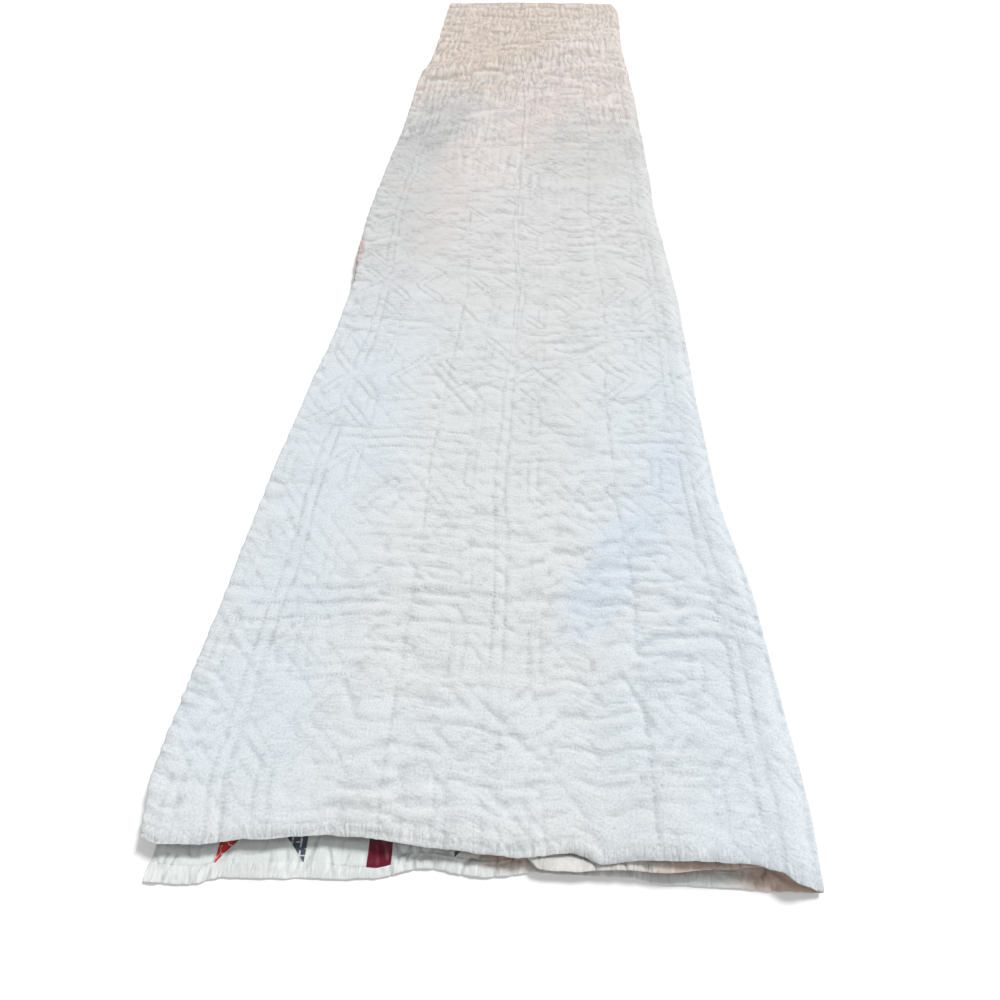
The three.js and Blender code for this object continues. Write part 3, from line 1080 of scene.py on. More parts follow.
# %% Woven cotton
def woven_cotton():
    """Height of threads and slubs, over a UV map in metres."""
    tree, inside, outside = new_group(
        "woven cotton",
        [("Vector", VECTOR, None), ("Thread size", NUMBER, 0.00055)],
        [("Height", NUMBER), ("Slubs", NUMBER)],
    )
    place = split_vector(tree, inside.outputs["Vector"])
    turns = math_node(tree, "DIVIDE", math.tau / 2, inside.outputs["Thread size"])
    warp = math_node(tree, "SINE", times(tree, place[0], turns))
    weft = math_node(tree, "SINE", times(tree, place[1], turns))
    weave = times(tree, warp, weft)
    slubs = noise_node(tree, inside.outputs["Vector"], 900, 3, 0.6)
    soft = times(tree, slubs, 1.4)
    tree.links.new(math_node(tree, "MULTIPLY_ADD", weave, 0.25, soft), outside.inputs["Height"])
    tree.links.new(slubs, outside.inputs["Slubs"])
    return tree


COTTON = built(woven_cotton())


# %% Washed crinkle group
def washed_crinkles():
    """Sharp fine wrinkles, across the quilt at 0 and along it at 1, finer than the mesh."""
    tree, inside, outside = new_group(
        "washed crinkles",
        [("Vector", VECTOR, None), ("Along", NUMBER, 0.0),
         ("Fold scale", NUMBER, 185.0), ("Rib scale", NUMBER, 70.0)],
        [("Height", NUMBER), ("Trough", NUMBER)],
    )
    place = split_vector(tree, inside.outputs["Vector"])
    heights = []
    for over, up in ((62, inside.outputs["Fold scale"]), (235, inside.outputs["Rib scale"])):
        stretched = tree.nodes.new("ShaderNodeCombineXYZ")
        tree.links.new(times(tree, place[0], over), stretched.inputs[0])
        tree.links.new(times(tree, place[1], up), stretched.inputs[1])
        noise = noise_node(tree, stretched.outputs[0], 1.0, 1.6, 0.5)
        noise.node.inputs["Distortion"].default_value = 0.35
        from_middle = math_node(tree, "ABSOLUTE", minus(tree, noise, 0.5))
        heights.append(times(tree, from_middle, 5.0, clamp=True))
    both = tree.nodes.new("ShaderNodeMix")
    tree.links.new(inside.outputs["Along"], both.inputs[0])
    tree.links.new(heights[0], both.inputs[2])
    tree.links.new(heights[1], both.inputs[3])
    worked = noise_node(tree, inside.outputs["Vector"], 26, 2, 0.5)
    worked = times(tree, minus(tree, worked, 0.25), 3.0, clamp=True)
    low = times(tree, minus(tree, 1, both.outputs[0]), worked)
    depth = math_node(tree, "MULTIPLY_ADD", inside.outputs["Along"], 1.3, 1)
    low = times(tree, low, depth)
    tree.links.new(minus(tree, 1, low), outside.inputs["Height"])
    deep = times(tree, minus(tree, low, 0.6), 2.5, clamp=True)
    tree.links.new(deep, outside.inputs["Trough"])
    return tree


CRINKLES = built(washed_crinkles())


# %% [markdown]
# ## Running stitches
#
# Hand quilting is a running stitch: thread over, thread under, ten or so to the inch on a
# fine quilt and seven or eight here. Each stitch pulls a dimple. The four families stored on
# the mesh say where the troughs are, and a wave along each direction cuts them into stitches.

# %% Running stitch group
STITCH = 3.3


def running_stitches():
    tree, inside, outside = new_group(
        "running stitches",
        [("Vector", VECTOR, None), ("Lines", COLOUR, None),
         ("Slant lines", NUMBER, 0.0)],
        [("Height", NUMBER), ("Mask", NUMBER)],
    )
    place = split_vector(tree, inside.outputs["Vector"])
    families = tree.nodes.new("ShaderNodeSeparateColor")
    tree.links.new(inside.outputs["Lines"], families.inputs[0])
    turns = math.tau / (STITCH * MM)
    stray = times(tree, noise_node(tree, inside.outputs["Vector"], 90, 2), 0.006)
    over = plus(tree, place[0], stray)
    up = plus(tree, place[1], stray)
    slant_turns = turns * math.sqrt(0.5)
    ways = [
        (families.outputs[0], over, turns),
        (families.outputs[1], up, turns),
        (families.outputs[2], plus(tree, over, up), slant_turns),
        (inside.outputs["Slant lines"], minus(tree, over, up), slant_turns),
    ]
    height, mask = None, None
    for line, way, turn in ways:
        wave = math_node(tree, "SINE", times(tree, way, turn))
        dimple = times(tree, wave, line)
        height = dimple if height is None else plus(tree, height, dimple)
        mask = line if mask is None else math_node(tree, "MAXIMUM", mask, line)
    tree.links.new(height, outside.inputs["Height"])
    tree.links.new(mask, outside.inputs["Mask"])
    return tree


STITCHES = built(running_stitches())


# %% [markdown]
# ## Soft patches of colour
#
# Old white cotton is never one white, and its tints here also paint the colour of the light:
# cool and bluish near the foot, pink and beige towards the far end. A small group makes one
# soft-edged patch, placed on the open quilt, and the material mixes several.

# %% Soft patch group
def soft_patch():
    tree, inside, outside = new_group(
        "soft patch",
        [("Vector", VECTOR, None), ("Across", NUMBER, 0.0),
         ("Down", NUMBER, 0.0), ("Half across", NUMBER, 0.1),
         ("Half down", NUMBER, 0.1), ("Skew", NUMBER, 0.0)],
        [("Mask", NUMBER)],
    )
    place = split_vector(tree, inside.outputs["Vector"])
    stray = minus(tree, noise_node(tree, inside.outputs["Vector"], 14, 3), 0.5)
    beside = minus(tree, place[0], inside.outputs["Across"])
    beyond = minus(tree, place[1], inside.outputs["Down"])
    beyond = minus(tree, beyond, times(tree, beside, inside.outputs["Skew"]))
    squares = []
    for distance, half in ((beside, "Half across"), (beyond, "Half down")):
        share = math_node(tree, "DIVIDE", distance, inside.outputs[half])
        share = math_node(tree, "ABSOLUTE", share)
        squares.append(math_node(tree, "POWER", share, 2.0))
    size = math_node(tree, "SQRT", plus(tree, *squares))
    size = math_node(tree, "MULTIPLY_ADD", stray, 0.9, size)
    fade = tree.nodes.new("ShaderNodeMapRange")
    fade.interpolation_type = "SMOOTHSTEP"
    tree.links.new(size, fade.inputs["Value"])
    fade.inputs["From Min"].default_value = 0.35
    fade.inputs["From Max"].default_value = 1.2
    fade.inputs["To Min"].default_value = 1
    fade.inputs["To Max"].default_value = 0
    tree.links.new(fade.outputs["Result"], outside.inputs["Mask"])
    return tree


PATCH = built(soft_patch())


# %% [markdown]
# ## Effects of age and painted light, each built once
#
# The back, the front and the binding grew old together, so they share some marks, and some
# painted light too: dust and painted shade in the washed crinkles, painted shade and highlight
# on the relief, painted shade and painted brown shade in the mouth of the fold, and the many
# tints of the white, partly the painted colour of the light. Each one is a node group, and a
# material places it with its own amounts. Two tables say where the tints and the brown shade
# lie.

# %% Painted shade and dust in the crinkles, painted shade on the relief and in the mouth
def dust_and_shade_in_crinkles():
    tree, inside, outside = new_group(
        "dust and painted shade in crinkles",
        [("Colour", COLOUR, None), ("Trough", NUMBER, 0.0),
         ("Amount", NUMBER, 0.2), ("Dust", COLOUR, srgb(160, 160, 160))],
        [("Colour", COLOUR)],
    )
    # Painted shade, with some dust: the troughs of the bump crinkles are darkened in the colour.
    share = times(tree, inside.outputs["Trough"], inside.outputs["Amount"])
    dusty = mix_colour(tree, share, inside.outputs["Colour"], inside.outputs["Dust"], "MULTIPLY")
    tree.links.new(dusty, outside.inputs["Colour"])
    return tree


def painted_shade_in_hollows():
    """Painted shade on what lies below its neighbours, painted highlight on what stands above."""
    tree, inside, outside = new_group(
        "painted shade and highlight in hollows",
        [("Colour", COLOUR, None), ("Hollow", NUMBER, 0.0),
         ("Depth", NUMBER, 0.34), ("Paling", NUMBER, 0.22)],
        [("Colour", COLOUR)],
    )
    hollow, paling = inside.outputs["Hollow"], inside.outputs["Paling"]
    low = times(tree, hollow, inside.outputs["Depth"], clamp=True)
    high = times(tree, hollow, times(tree, paling, -1), clamp=True)
    colour = mix_colour(tree, low, inside.outputs["Colour"], srgb(184, 184, 184), "MULTIPLY")
    tree.links.new(mix_colour(tree, high, colour, srgb(246, 246, 246)), outside.inputs["Colour"])
    return tree


def painted_shade_in_mouth():
    tree, inside, outside = new_group(
        "painted shade in the mouth",
        [("Colour", COLOUR, None), ("Nearness", NUMBER, 0.0)],
        [("Colour", COLOUR)],
    )
    # Painted shade: a dark line along the hem of the layer above, where the cloth lies in shade.
    share = times(tree, inside.outputs["Nearness"], 0.48)
    mouth_shaded = mix_colour(tree, share, inside.outputs["Colour"], srgb(84, 72, 66))
    tree.links.new(mouth_shaded, outside.inputs["Colour"])
    return tree


DUST_AND_SHADE = built(dust_and_shade_in_crinkles())
HOLLOW_SHADE_AND_HIGHLIGHT = built(painted_shade_in_hollows())
MOUTH_SHADE = built(painted_shade_in_mouth())

# %% Tables of tints and of painted brown shade
TINTS = dict(
    cool=srgb(219, 228, 235),
    sky=srgb(212, 224, 236),
    pink=srgb(230, 217, 213),
    beige=srgb(227, 207, 190),
    pale=srgb(239, 227, 218),
    grey=srgb(195, 195, 195),
    plain=srgb(218, 218, 217),
    dull=srgb(209, 208, 205),
    rust=srgb(196, 158, 146),
    dark=srgb(120, 84, 78),
)
# The cool and sky tints near the foot, and the pink, beige and pale ones towards the far end, paint
# the colour of the light into the cloth.
TINT_PATCHES = [
    dict(tint="cool", x=-165, down=380, half_across=95, half_down=360, skew=0, share=0.8),
    dict(tint="cool", x=-165, down=80, half_across=100, half_down=90, skew=0, share=0.7),
    dict(tint="cool", x=185, down=200, half_across=120, half_down=430, skew=0, share=0.85),
    dict(tint="cool", x=30, down=60, half_across=130, half_down=60, skew=0, share=0.35),
    dict(tint="sky", x=104, down=205, half_across=60, half_down=44, skew=1.15, share=0.8),
    dict(tint="sky", x=168, down=315, half_across=26, half_down=60, skew=0.6, share=0.7),
    dict(tint="plain", x=10, down=860, half_across=330, half_down=400, skew=0, share=0.85),
    dict(tint="grey", x=-170, down=900, half_across=110, half_down=330, skew=0, share=0.5),
    dict(tint="dull", x=110, down=1110, half_across=150, half_down=260, skew=0, share=0.8),
    dict(tint="beige", x=-20, down=1820, half_across=560, half_down=740, skew=0.5, share=0.92),
    dict(tint="pale", x=165, down=1560, half_across=130, half_down=420, skew=0, share=0.85),
    dict(tint="grey", x=-160, down=1130, half_across=95, half_down=180, skew=1.0, share=0.85),
    dict(tint="pink", x=0, down=1180, half_across=150, half_down=300, skew=2.6, share=0.6),
    dict(tint="pink", x=100, down=1380, half_across=150, half_down=260, skew=0, share=0.6),
    # Along the left fold: a reddish tint, and a dark line of painted shade in the gap under the
    # fold.
    dict(tint="rust", x=-213, down=694, half_across=8, half_down=52, skew=0, share=0.6),
    dict(tint="dark", x=-218, down=652, half_across=6, half_down=56, skew=0, share=0.9),
]
# Painted brown shade in the mouth of the fold, under the lifted hems, and one weak patch that
# darkens a lit strip of tape.
BROWN_SHADE_PATCHES = [
    dict(level=0, x=10, down=19, half_across=56, half_down=15, skew=-0.26, share=0.95),
    dict(level=0, x=160, down=27, half_across=66, half_down=19, skew=0, share=0.9),
    dict(level=0, x=196, down=8, half_across=38, half_down=30, skew=0, share=0.9),
    dict(level=2, x=66, down=4, half_across=44, half_down=26, skew=0, share=0.22),
    dict(level=1, x=165, down=5, half_across=72, half_down=30, skew=0, share=0.85),
    dict(level=2, x=165, down=5, half_across=72, half_down=30, skew=0, share=0.85),
]
print(len(TINTS), "tints in", len(TINT_PATCHES), "patches, and", len(BROWN_SHADE_PATCHES), "patches of painted brown shade")


# %% Old white, with the painted cast of light, and painted brown shade
def patch_share(tree, vector, row, across):
    """Places one soft patch from its row, at its place over the open quilt."""
    against = row.get("level", TOP) in (1, TOP)  # here across runs against x
    patch = place_group(
        tree, PATCH, Vector=vector, Across=across * MM, Down=row["down"] * MM,
        Half_across=row["half_across"] * MM, Half_down=row["half_down"] * MM,
        Skew=-row["skew"] if against else row["skew"],
    )
    return times(tree, patch.outputs["Mask"], row["share"])


def old_white_and_light_cast():
    """The white of the back and of its binding, with its tints and the painted cast of light."""
    tree, inside, outside = new_group(
        "old white and painted light cast", [("Vector", VECTOR, None)], [("Colour", COLOUR)]
    )
    vector = inside.outputs["Vector"]
    colour = mottled(tree, vector, 9, 0.6, srgb(217, 221, 222), srgb(227, 231, 232))
    for row in TINT_PATCHES:
        share = patch_share(tree, vector, row, across_of(TOP, row["x"]))
        colour = mix_colour(tree, share, colour, TINTS[row["tint"]])
    grain = noise_node(tree, vector, 620, 3, 0.75)
    above, below = minus(tree, grain, 0.5), minus(tree, 0.5, grain)
    for side, tone in ((above, srgb(160, 162, 164)), (below, srgb(246, 246, 246))):
        colour = mix_colour(tree, times(tree, side, 2.2, clamp=True), colour, tone)
    tree.links.new(colour, outside.inputs["Colour"])
    return tree


def painted_brown_shade():
    """Painted brown shade in the mouth of the fold, on the front only as far as the input says."""
    tree, inside, outside = new_group(
        "painted brown shade",
        [("Vector", VECTOR, None), ("Colour", COLOUR, None),
         ("On front", NUMBER, 1.0)],
        [("Colour", COLOUR)],
    )
    vector, colour = inside.outputs["Vector"], inside.outputs["Colour"]
    brown = mottled(tree, vector, 240, 0.7, srgb(200, 172, 156), srgb(236, 210, 193))
    for row in BROWN_SHADE_PATCHES:
        share = patch_share(tree, vector, row, across_of(row["level"], row["x"]))
        if row["level"] == 0:
            share = times(tree, share, inside.outputs["On front"])
        colour = mix_colour(tree, share, colour, brown)
    tree.links.new(colour, outside.inputs["Colour"])
    return tree


OLD_WHITE_AND_LIGHT_CAST = built(old_white_and_light_cast())
BROWN_SHADE = built(painted_brown_shade())

# %% [markdown]
# ## The white back's material
#
# It joins the groups: weave, crinkles and stitches as bump, tints, dust and painted shade as
# colour. The stitched troughs get a little painted shade, more than the puffs between them,
# the raised stitches a painted highlight, and here and there a stitch was pulled tighter.
# Near the foot the crinkles are finer than the mesh can carry, so a second, finer set of them
# fades in there as bump.

# %% Helpers for materials
CLOTH = {
    "Roughness": 0.85,
    "Specular IOR Level": 0.25,
    "Sheen Weight": 0.15,
    "Sheen Roughness": 0.6,
}


def new_material(name):
    material = bpy.data.materials.new(name)
    material.use_nodes = True
    tree = material.node_tree
    shader = tree.nodes["Principled BSDF"]
    for socket, value in CLOTH.items():
        shader.inputs[socket].default_value = value
    return material, tree, shader


def quilt_map(tree):
    node = tree.nodes.new("ShaderNodeUVMap")
    node.uv_map = "open_quilt"
    return node.outputs["UV"]


def kept_on_mesh(tree, name):
    """The outputs of an Attribute node: values that were stored with the mesh."""
    node = tree.nodes.new("ShaderNodeAttribute")
    node.attribute_name = name
    return node.outputs


def bump(tree, shader, layers):
    """Chains Bump nodes. Each layer is a height socket and its depth in metres."""
    normal = None
    for height, depth in layers:
        node = tree.nodes.new("ShaderNodeBump")
        node.inputs["Distance"].default_value = depth
        tree.links.new(height, node.inputs["Height"])
        if normal is not None:
            tree.links.new(normal, node.inputs["Normal"])
        normal = node.outputs["Normal"]
    tree.links.new(normal, shader.inputs["Normal"])


print("every cotton has", CLOTH)


# %% Stitches on the white back
def stitched_colour(tree, vector, colour):
    """Troughs and tight stitches in painted shade, stitches in painted highlight; and a height."""
    lines = kept_on_mesh(tree, "stitching")
    stitches = place_group(
        tree, STITCHES, Vector=vector, Lines=lines["Color"], Slant_lines=lines["Alpha"]
    )
    tight = minus(tree, noise_node(tree, vector, 120, 2, 0.6), 0.38)
    pulled = times(tree, times(tree, tight, 3.2, clamp=True), stitches.outputs["Height"])
    dimples = times(tree, pulled, -0.42, clamp=True)
    # painted shade in the stitched troughs and in the dimples of the bump stitches
    shade = plus(tree, times(tree, stitches.outputs["Mask"], 0.12), dimples)
    colour = mix_colour(tree, shade, colour, srgb(182, 184, 187), "MULTIPLY")
    # painted highlight on the raised half of each stitch, where its thread lies
    threads = times(tree, pulled, 0.3, clamp=True)
    return mix_colour(tree, threads, colour, srgb(243, 244, 245)), pulled


# %% Where the fine crinkles turn
TURNS = dict(start=1.35, end=1.75)  # metres down, where the crinkles turn to ribs
TUCKED = 0.018  # metres down, where the hem's tucks end
FINE_FOOT = 0.62  # metres down, where the finest crinkles end
# the colour of painted shade and dust in the troughs of the bump crinkles
CRINKLE_DUST_AND_SHADE = srgb(176, 177, 178)


def ribs_share(tree, vector, down):
    """0 where the fine crinkles run across, 1 where they run along."""
    turning = tree.nodes.new("ShaderNodeMapRange")
    turn_at = math_node(tree, "MULTIPLY_ADD", noise_node(tree, vector, 9, 2, 0.5), 0.8, down)
    tree.links.new(turn_at, turning.inputs["Value"])
    turning.inputs["From Min"].default_value = TURNS["start"]
    turning.inputs["From Max"].default_value = TURNS["end"]
    near_hem = times(tree, minus(tree, TUCKED, down), 90, clamp=True)
    tucked = times(tree, near_hem, 0.6)
    return math_node(tree, "MAXIMUM", turning.outputs["Result"], tucked)


# %% White cotton
def white_cotton():
    material, tree, shader = new_material("white cotton")
    vector = quilt_map(tree)
    down = split_vector(tree, vector)[1]
    colour = place_group(tree, OLD_WHITE_AND_LIGHT_CAST, Vector=vector).outputs["Colour"]
    colour, pulled = stitched_colour(tree, vector, colour)

    along = ribs_share(tree, vector, down)
    washed = place_group(tree, CRINKLES, Vector=vector, Along=along, Rib_scale=27)
    fine = place_group(tree, CRINKLES, Vector=vector, Fold_scale=270)
    near_foot = times(tree, minus(tree, FINE_FOOT, down), 2.4, clamp=True)
    less = math_node(tree, "MULTIPLY_ADD", near_foot, -0.5, 1)
    # painted shade and dust in the troughs of the fine and of the washed bump crinkles
    for crinkled, share, amount in ((fine, near_foot, 0.07), (washed, less, 0.24)):
        colour = place_group(
            tree, DUST_AND_SHADE, Colour=colour, Trough=crinkled.outputs["Trough"],
            Amount=times(tree, share, amount), Dust=CRINKLE_DUST_AND_SHADE,
        ).outputs["Colour"]
    # painted shade in the hollows of the relief, painted highlight on its rises
    shaded = place_group(
        tree, HOLLOW_SHADE_AND_HIGHLIGHT, Colour=colour, Hollow=kept_on_mesh(tree, "hollows")["Fac"],
        Depth=0.38, Paling=0.26,
    )
    tree.links.new(shaded.outputs["Colour"], shader.inputs["Base Color"])
    cotton = place_group(tree, COTTON, Vector=vector)
    bump(tree, shader, [
        (pulled, 0.0002),
        (times(tree, washed.outputs["Height"], less), 0.00046),
        (times(tree, fine.outputs["Height"], near_foot), 0.00012),
        (noise_node(tree, vector, 420, 3, 0.7), 0.00016),
        (cotton.outputs["Height"], 0.00012),
    ])
    return material


WHITE_COTTON = white_cotton()
plain_back.data.materials.append(WHITE_COTTON)
print("white cotton:", len(WHITE_COTTON.node_tree.nodes), "nodes")

# %% [markdown]
# ## Patchwork colours
#
# The front is a field of eight-pointed stars on white, with burgundy sashing. The pieces
# could be meshes of their own, but they are sewn into one flat sheet, and the pattern
# repeats, so the material works it out: which block a point is in, then whether it lies in
# the sash, in a star's point or on the white. Folding the block onto one eighth makes the
# star two simple tests, and each block takes its two cloths from a short list.

# %% Patchwork sizes
BLOCK = 137
SASH = 15.3
REPEAT = BLOCK + SASH
FIRST_BLOCK = dict(across=1.2, down=8)
SEAM_HALF = 1.2  # half the width of the groove along a seam
SCRAPS = [
    srgb(213, 41, 45),    # red calico
    srgb(68, 78, 91),     # slate print
    srgb(77, 33, 62),     # plum
    srgb(209, 128, 130),  # rose
    srgb(130, 94, 71),    # brown
    srgb(179, 151, 120),  # tan
]
print("blocks:", round(WIDTH / REPEAT), "by", round(LENGTH / REPEAT))


# %% Which block, and where in it
EDGE = 0.00002  # metres that keep the outermost row inside its block


def block_cell(tree, socket, first):
    """The number of a block along one direction, and the place from its middle in mm."""
    turned = math_node(tree, "DIVIDE", minus(tree, socket, first * MM), REPEAT * MM)
    number = math_node(tree, "FLOOR", turned)
    inside = times(tree, minus(tree, turned, number), REPEAT)
    return number, minus(tree, inside, BLOCK / 2)


def block_place(tree, place):
    """Numbers of the block, i and j, and the place in it, p and q."""
    last = (LENGTH - BINDING) * MM - EDGE
    down = math_node(tree, "MINIMUM", place[1], last)
    down = math_node(tree, "MAXIMUM", down, FIRST_BLOCK["down"] * MM + EDGE)
    i, p = block_cell(tree, place[0], FIRST_BLOCK["across"])
    j, q = block_cell(tree, down, FIRST_BLOCK["down"])
    return i, j, p, q


# %% The star's shape
def star_shape(tree, abs_p, abs_q):
    """How deep a point lies inside the star, and inside the block, in mm."""
    small = math_node(tree, "MINIMUM", abs_p, abs_q)
    large = math_node(tree, "MAXIMUM", abs_p, abs_q)
    inside_tip = minus(tree, BLOCK * (math.sqrt(0.5) - 0.5), small)
    past_side = minus(tree, BLOCK * (1 - math.sqrt(0.5)), minus(tree, large, small))
    inside_side = math_node(tree, "DIVIDE", past_side, math.sqrt(2))
    star_depth = math_node(tree, "MINIMUM", inside_tip, inside_side)
    return star_depth, minus(tree, BLOCK / 2, large)


# %% Two scraps for each star
def scrap_of(tree, i, j, p, q, off_middle):
    """The place of a point's scrap in the list, 0 to 1: neighbouring diamonds differ."""
    turn = math_node(tree, "SIGN", times(tree, p, q))
    turn = times(tree, turn, math_node(tree, "SIGN", off_middle))
    second = math_node(tree, "LESS_THAN", turn, 0)
    pick = math_node(tree, "MULTIPLY_ADD", i, 2, times(tree, j, 3))
    pick = math_node(tree, "FLOORED_MODULO", plus(tree, pick, second), len(SCRAPS))
    return math_node(tree, "DIVIDE", plus(tree, pick, 0.5), len(SCRAPS))


def scrap_colour(tree, pick):
    cloths = tree.nodes.new("ShaderNodeValToRGB")
    ramp = cloths.color_ramp
    ramp.interpolation = "CONSTANT"
    for number, scrap in enumerate(SCRAPS):
        at = number / len(SCRAPS)
        element = ramp.elements[number] if number < 2 else ramp.elements.new(at)
        element.position = at
        element.color = scrap
    tree.links.new(pick, cloths.inputs[0])
    return cloths.outputs["Color"]


# %% Small prints
BAR_SIZE = 0.0036
TWIG_SIZE = 0.0058
VINE_WIDTH = 0.03
PRINT_INK = srgb(228, 231, 230)


def printed(tree, vector, place, pick):
    """White prints: vines on the red calico, broken bars and twigs on the others."""
    vines = noise_node(tree, vector, 170, 3, 0.6)
    vine_line = math_node(tree, "ABSOLUTE", minus(tree, vines, 0.52))
    vine_line = math_node(tree, "LESS_THAN", vine_line, VINE_WIDTH)
    bar_wave = math_node(tree, "SINE", times(tree, place[1], math.tau / BAR_SIZE))
    twig_wave = math_node(tree, "SINE", times(tree, place[0], math.tau / TWIG_SIZE))
    twigs = math_node(tree, "MAXIMUM", bar_wave, times(tree, twig_wave, 1.05))
    bars = math_node(tree, "MULTIPLY_ADD", vines, 2.6, twigs)
    bars = math_node(tree, "GREATER_THAN", bars, 2.2)
    is_red = math_node(tree, "LESS_THAN", pick, 1 / len(SCRAPS))
    on_others = times(tree, bars, minus(tree, 1, is_red))
    return times(tree, plus(tree, times(tree, vine_line, is_red), on_others), 0.8)


# %% Star patchwork material
def star_patchwork():
    material, tree, shader = new_material("star patchwork")
    vector = quilt_map(tree)
    place = split_vector(tree, vector)
    i, j, p, q = block_place(tree, place)
    abs_p, abs_q = math_node(tree, "ABSOLUTE", p), math_node(tree, "ABSOLUTE", q)
    star_depth, block_depth = star_shape(tree, abs_p, abs_q)
    in_star = math_node(tree, "GREATER_THAN", star_depth, 0)
    in_sash = math_node(tree, "LESS_THAN", block_depth, 0)

    pick = scrap_of(tree, i, j, p, q, minus(tree, abs_q, abs_p))
    print_share = printed(tree, vector, place, pick)
    star_colour = mix_colour(tree, print_share, scrap_colour(tree, pick), PRINT_INK)
    muslin = mottled(tree, vector, 30, 0.6, srgb(219, 229, 226), srgb(236, 241, 240))
    colour = mix_colour(tree, in_star, muslin, star_colour)
    burgundy = mottled(tree, vector, 110, 0.7, srgb(84, 2, 32), srgb(126, 6, 46))
    colour = mix_colour(tree, in_sash, colour, burgundy)

    # painted brown shade in the mouth of the fold
    brown_shaded = place_group(tree, BROWN_SHADE, Vector=vector, Colour=colour)
    washed = place_group(tree, CRINKLES, Vector=vector, Along=1)
    # painted shade and dust in the troughs of the bump crinkles
    dusty = place_group(
        tree, DUST_AND_SHADE, Colour=brown_shaded.outputs["Colour"], Trough=washed.outputs["Trough"],
        Amount=0.08, Dust=srgb(150, 151, 149),
    )
    # painted shade in the hollows of the relief, painted highlight on its rises
    shaded = place_group(
        tree, HOLLOW_SHADE_AND_HIGHLIGHT, Colour=dusty.outputs["Colour"],
        Hollow=kept_on_mesh(tree, "hollows")["Fac"], Depth=0.95, Paling=0.1,
    )
    # painted shade along the hems of the layers above
    mouth_shaded = place_group(
        tree, MOUTH_SHADE, Colour=shaded.outputs["Colour"],
        Nearness=kept_on_mesh(tree, "mouth")["Fac"],
    )
    tree.links.new(mouth_shaded.outputs["Colour"], shader.inputs["Base Color"])

    from_star, from_sash = (
        math_node(tree, "ABSOLUTE", depth) for depth in (star_depth, block_depth)
    )
    from_seam = math_node(tree, "MINIMUM", from_star, from_sash)
    flat = math_node(tree, "DIVIDE", from_seam, SEAM_HALF)
    groove = minus(tree, 1, flat, clamp=True)
    cotton = place_group(tree, COTTON, Vector=vector)
    bump(tree, shader, [
        (times(tree, groove, -1), 0.0004),
        (washed.outputs["Height"], 0.00014),
        (noise_node(tree, vector, 260, 3, 0.6), 0.0004),
        (cotton.outputs["Height"], 0.00012),
    ])
    return material


STAR_PATCHWORK = star_patchwork()
pieced_front.data.materials.append(STAR_PATCHWORK)
print("star patchwork:", len(STAR_PATCHWORK.node_tree.nodes), "nodes")


# %% [markdown]
# ## The binding's material
#
# The tape is folded over the edge, so one strip of cotton is seen from both sides: the old
# white of the back on one, a cleaner white on the other, which lay inside the fold, and
# painted shade along its lower side at the edge. Two values kept on the mesh tell the sides
# apart, so that one material serves all four tapes.

# %% Binding material
# painted shade on the tape's lower side, along the edge
UNDERSIDE_SHADE = srgb(140, 121, 111)


def binding_cotton():
    material, tree, shader = new_material("binding cotton")
    vector = quilt_map(tree)
    cotton = place_group(tree, COTTON, Vector=vector)
    plain = place_group(tree, OLD_WHITE_AND_LIGHT_CAST, Vector=vector).outputs["Colour"]
    brighter = mottled(tree, vector, 40, 0.6, srgb(228, 234, 231), srgb(242, 246, 245))
    front_side = kept_on_mesh(tree, "front_side")["Fac"]
    colour = mix_colour(tree, front_side, plain, brighter)
    # painted brown shade in the mouth of the fold
    brown_shaded = place_group(tree, BROWN_SHADE, Vector=vector, Colour=colour, On_front=front_side)
    # painted shade along the hems of the layers above
    mouth_shaded = place_group(
        tree, MOUTH_SHADE, Colour=brown_shaded.outputs["Colour"],
        Nearness=kept_on_mesh(tree, "mouth")["Fac"],
    )
    washed = place_group(tree, CRINKLES, Vector=vector, Along=1)
    # painted shade and dust in the troughs of the bump crinkles
    dusty = place_group(
        tree, DUST_AND_SHADE, Colour=mouth_shaded.outputs["Colour"], Trough=washed.outputs["Trough"], Amount=0.18
    )
    # painted shade in the hollows of the relief, painted highlight on its rises
    shaded = place_group(
        tree, HOLLOW_SHADE_AND_HIGHLIGHT, Colour=dusty.outputs["Colour"],
        Hollow=kept_on_mesh(tree, "hollows")["Fac"], Depth=0.6,
    )
    # painted shade on the tape's lower side
    under_shade = times(tree, kept_on_mesh(tree, "underside")["Fac"], 1.1, clamp=True)
    colour = mix_colour(tree, under_shade, shaded.outputs["Colour"], UNDERSIDE_SHADE)
    tree.links.new(colour, shader.inputs["Base Color"])
    bump(tree, shader, [
        (washed.outputs["Height"], 0.00025),
        (noise_node(tree, vector, 260, 3, 0.6), 0.0004),
        (cotton.outputs["Height"], 0.00012),
    ])
    return material


BINDING_COTTON = binding_cotton()
tapes = [binding_foot, binding_head, binding_outer, binding_inner]
for piece in tapes:
    piece.data.materials.append(BINDING_COTTON)
print("binding cotton:", len(BINDING_COTTON.node_tree.nodes), "nodes on", len(tapes), "tapes")

# %% [markdown]
# ## Floor and light
#
# The quilt lies on a plain white floor. The key lamp stands beyond the far end, to the right,
# so that every crinkle that runs across turns a shaded side to the viewer. A weak, very broad
# lamp from the near side opens the mouth of the fold, and the white world does the rest. The
# floor reflects a little less than it receives; a slight glow that only the camera sees lifts
# it to white again, and the soft shadow beside the quilt stays.

# %% Floor
SKY = 0.315  # the world's own light on the quilt
FLOOR_BELOW = -0.0002  # just under the cloth, so that the two never share a face
FLOOR_GLOW = 0.12


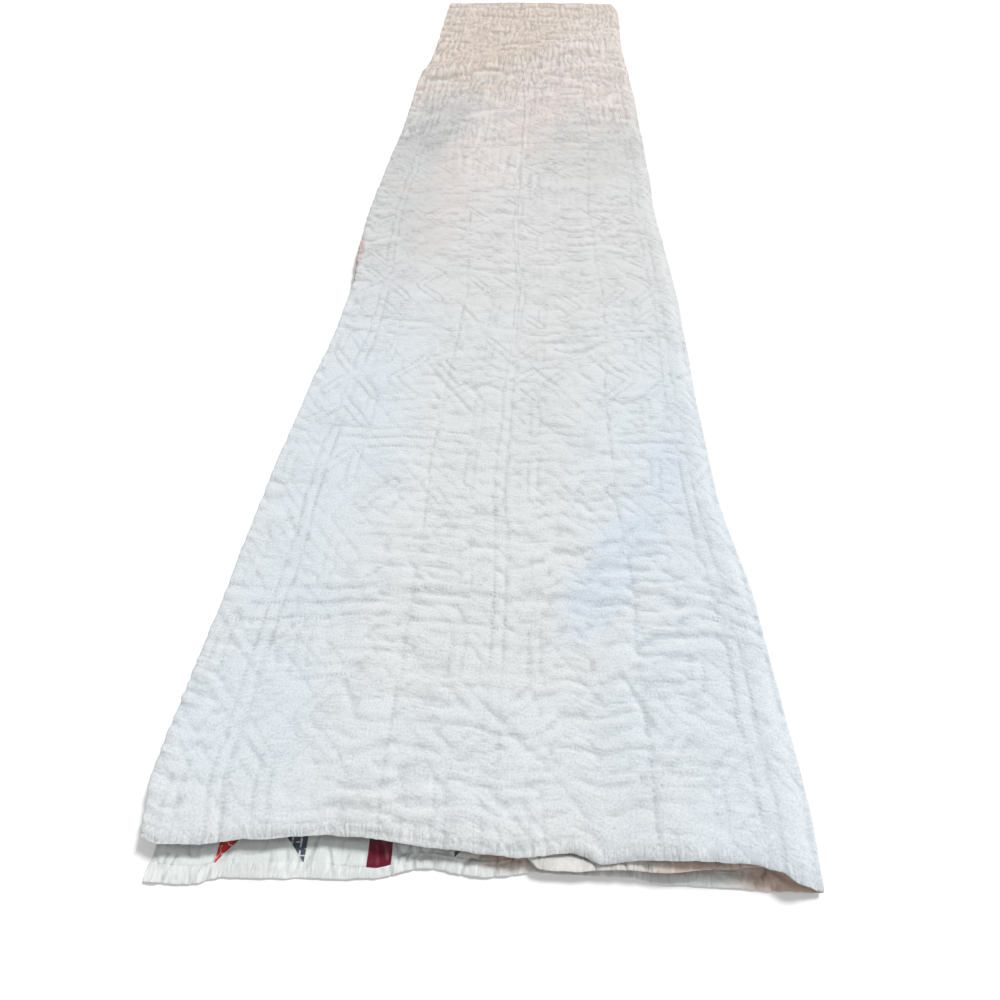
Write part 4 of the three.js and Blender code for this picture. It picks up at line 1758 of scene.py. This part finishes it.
def seen_directly(tree):
    """1 for a ray from the camera, a mirror or a glass, and 0 for a ray that only lights."""
    path = tree.nodes.new("ShaderNodeLightPath")
    seen = math_node(tree, "MAXIMUM", path.outputs["Is Camera Ray"], path.outputs["Is Glossy Ray"])
    return math_node(tree, "MAXIMUM", seen, path.outputs["Is Transmission Ray"])


def floor_material():
    material = bpy.data.materials.new("white floor")
    material.use_nodes = True
    tree = material.node_tree
    shader = tree.nodes["Principled BSDF"]
    shader.inputs["Base Color"].default_value = (0.93, 0.93, 0.93, 1)
    shader.inputs["Roughness"].default_value = 0.9
    shader.inputs["Emission Color"].default_value = (1, 1, 1, 1)
    lift = times(tree, seen_directly(tree), FLOOR_GLOW)
    tree.links.new(lift, shader.inputs["Emission Strength"])
    return material


def flat_floor(name, reach):
    mesh = bpy.data.meshes.new(name)
    around_it = ((-reach, -reach), (reach, -reach), (reach, reach), (-reach, reach))
    mesh.from_pydata([(x, y, FLOOR_BELOW) for x, y in around_it], [], [(0, 1, 2, 3)])
    floor = bpy.data.objects.new(name, mesh)
    bpy.context.scene.collection.objects.link(floor)
    mesh.materials.append(floor_material())
    return floor


floor = flat_floor("floor", 30)
print("floor", -FLOOR_BELOW / MM, "mm below the cloth")


# %% Lamps and world
def soft_lamp(name, place, spread, strength):
    """A far broad lamp: its light comes from one side, evenly over the whole quilt."""
    lamp = bpy.data.lights.new(name, "SUN")
    lamp.angle = math.radians(spread)
    lamp.energy = strength
    made = bpy.data.objects.new(name, lamp)
    bpy.context.scene.collection.objects.link(made)
    made.location = place
    yaw = math.atan2(-place[1], -place[0])
    pitch = math.atan2(-place[2], math.hypot(place[0], place[1]))
    made.rotation_euler = (math.pi / 2 + pitch, 0, yaw - math.pi / 2)
    return made


soft_lamp("key lamp", (1.9, 2.5, 3.7), 13, 2.56)
soft_lamp("fill lamp", (-0.5, -2.4, 1.7), 45, 0.6)

world = bpy.data.worlds.new("world")
bpy.context.scene.world = world
world.use_nodes = True
background = world.node_tree.nodes["Background"]
background.inputs["Color"].default_value = (1.0, 1.0, 1.0, 1)
seen = seen_directly(world.node_tree)
strength = math_node(world.node_tree, "MULTIPLY_ADD", seen, 1 - SKY, SKY)
world.node_tree.links.new(strength, background.inputs["Strength"])

bpy.context.scene.view_settings.view_transform = "Standard"
print("lamps:", sorted(lamp.name for lamp in bpy.data.lights), "and a world of", SKY)

# %% [markdown]
# ## Ties to the imported model
#
# Every fabric rides on the one body and stands for its solid, which is hidden.

# %% Ride and replace
pieces = [
    (plain_back, "quilt_cloth", "quilted_cotton"),
    (pieced_front, "quilt_cloth", "quilted_cotton"),
    (binding_foot, "binding_foot", "binding_tape"),
    (binding_head, "binding_head", "binding_tape"),
    (binding_outer, "binding_outer_side", "binding_tape"),
    (binding_inner, "binding_inner_side", "binding_tape"),
]
for piece, node, slot in pieces:
    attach(piece, "root")
    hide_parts(node)

print(len(pieces), "pieces stand for", len({node for _, node, _ in pieces}), "solids")
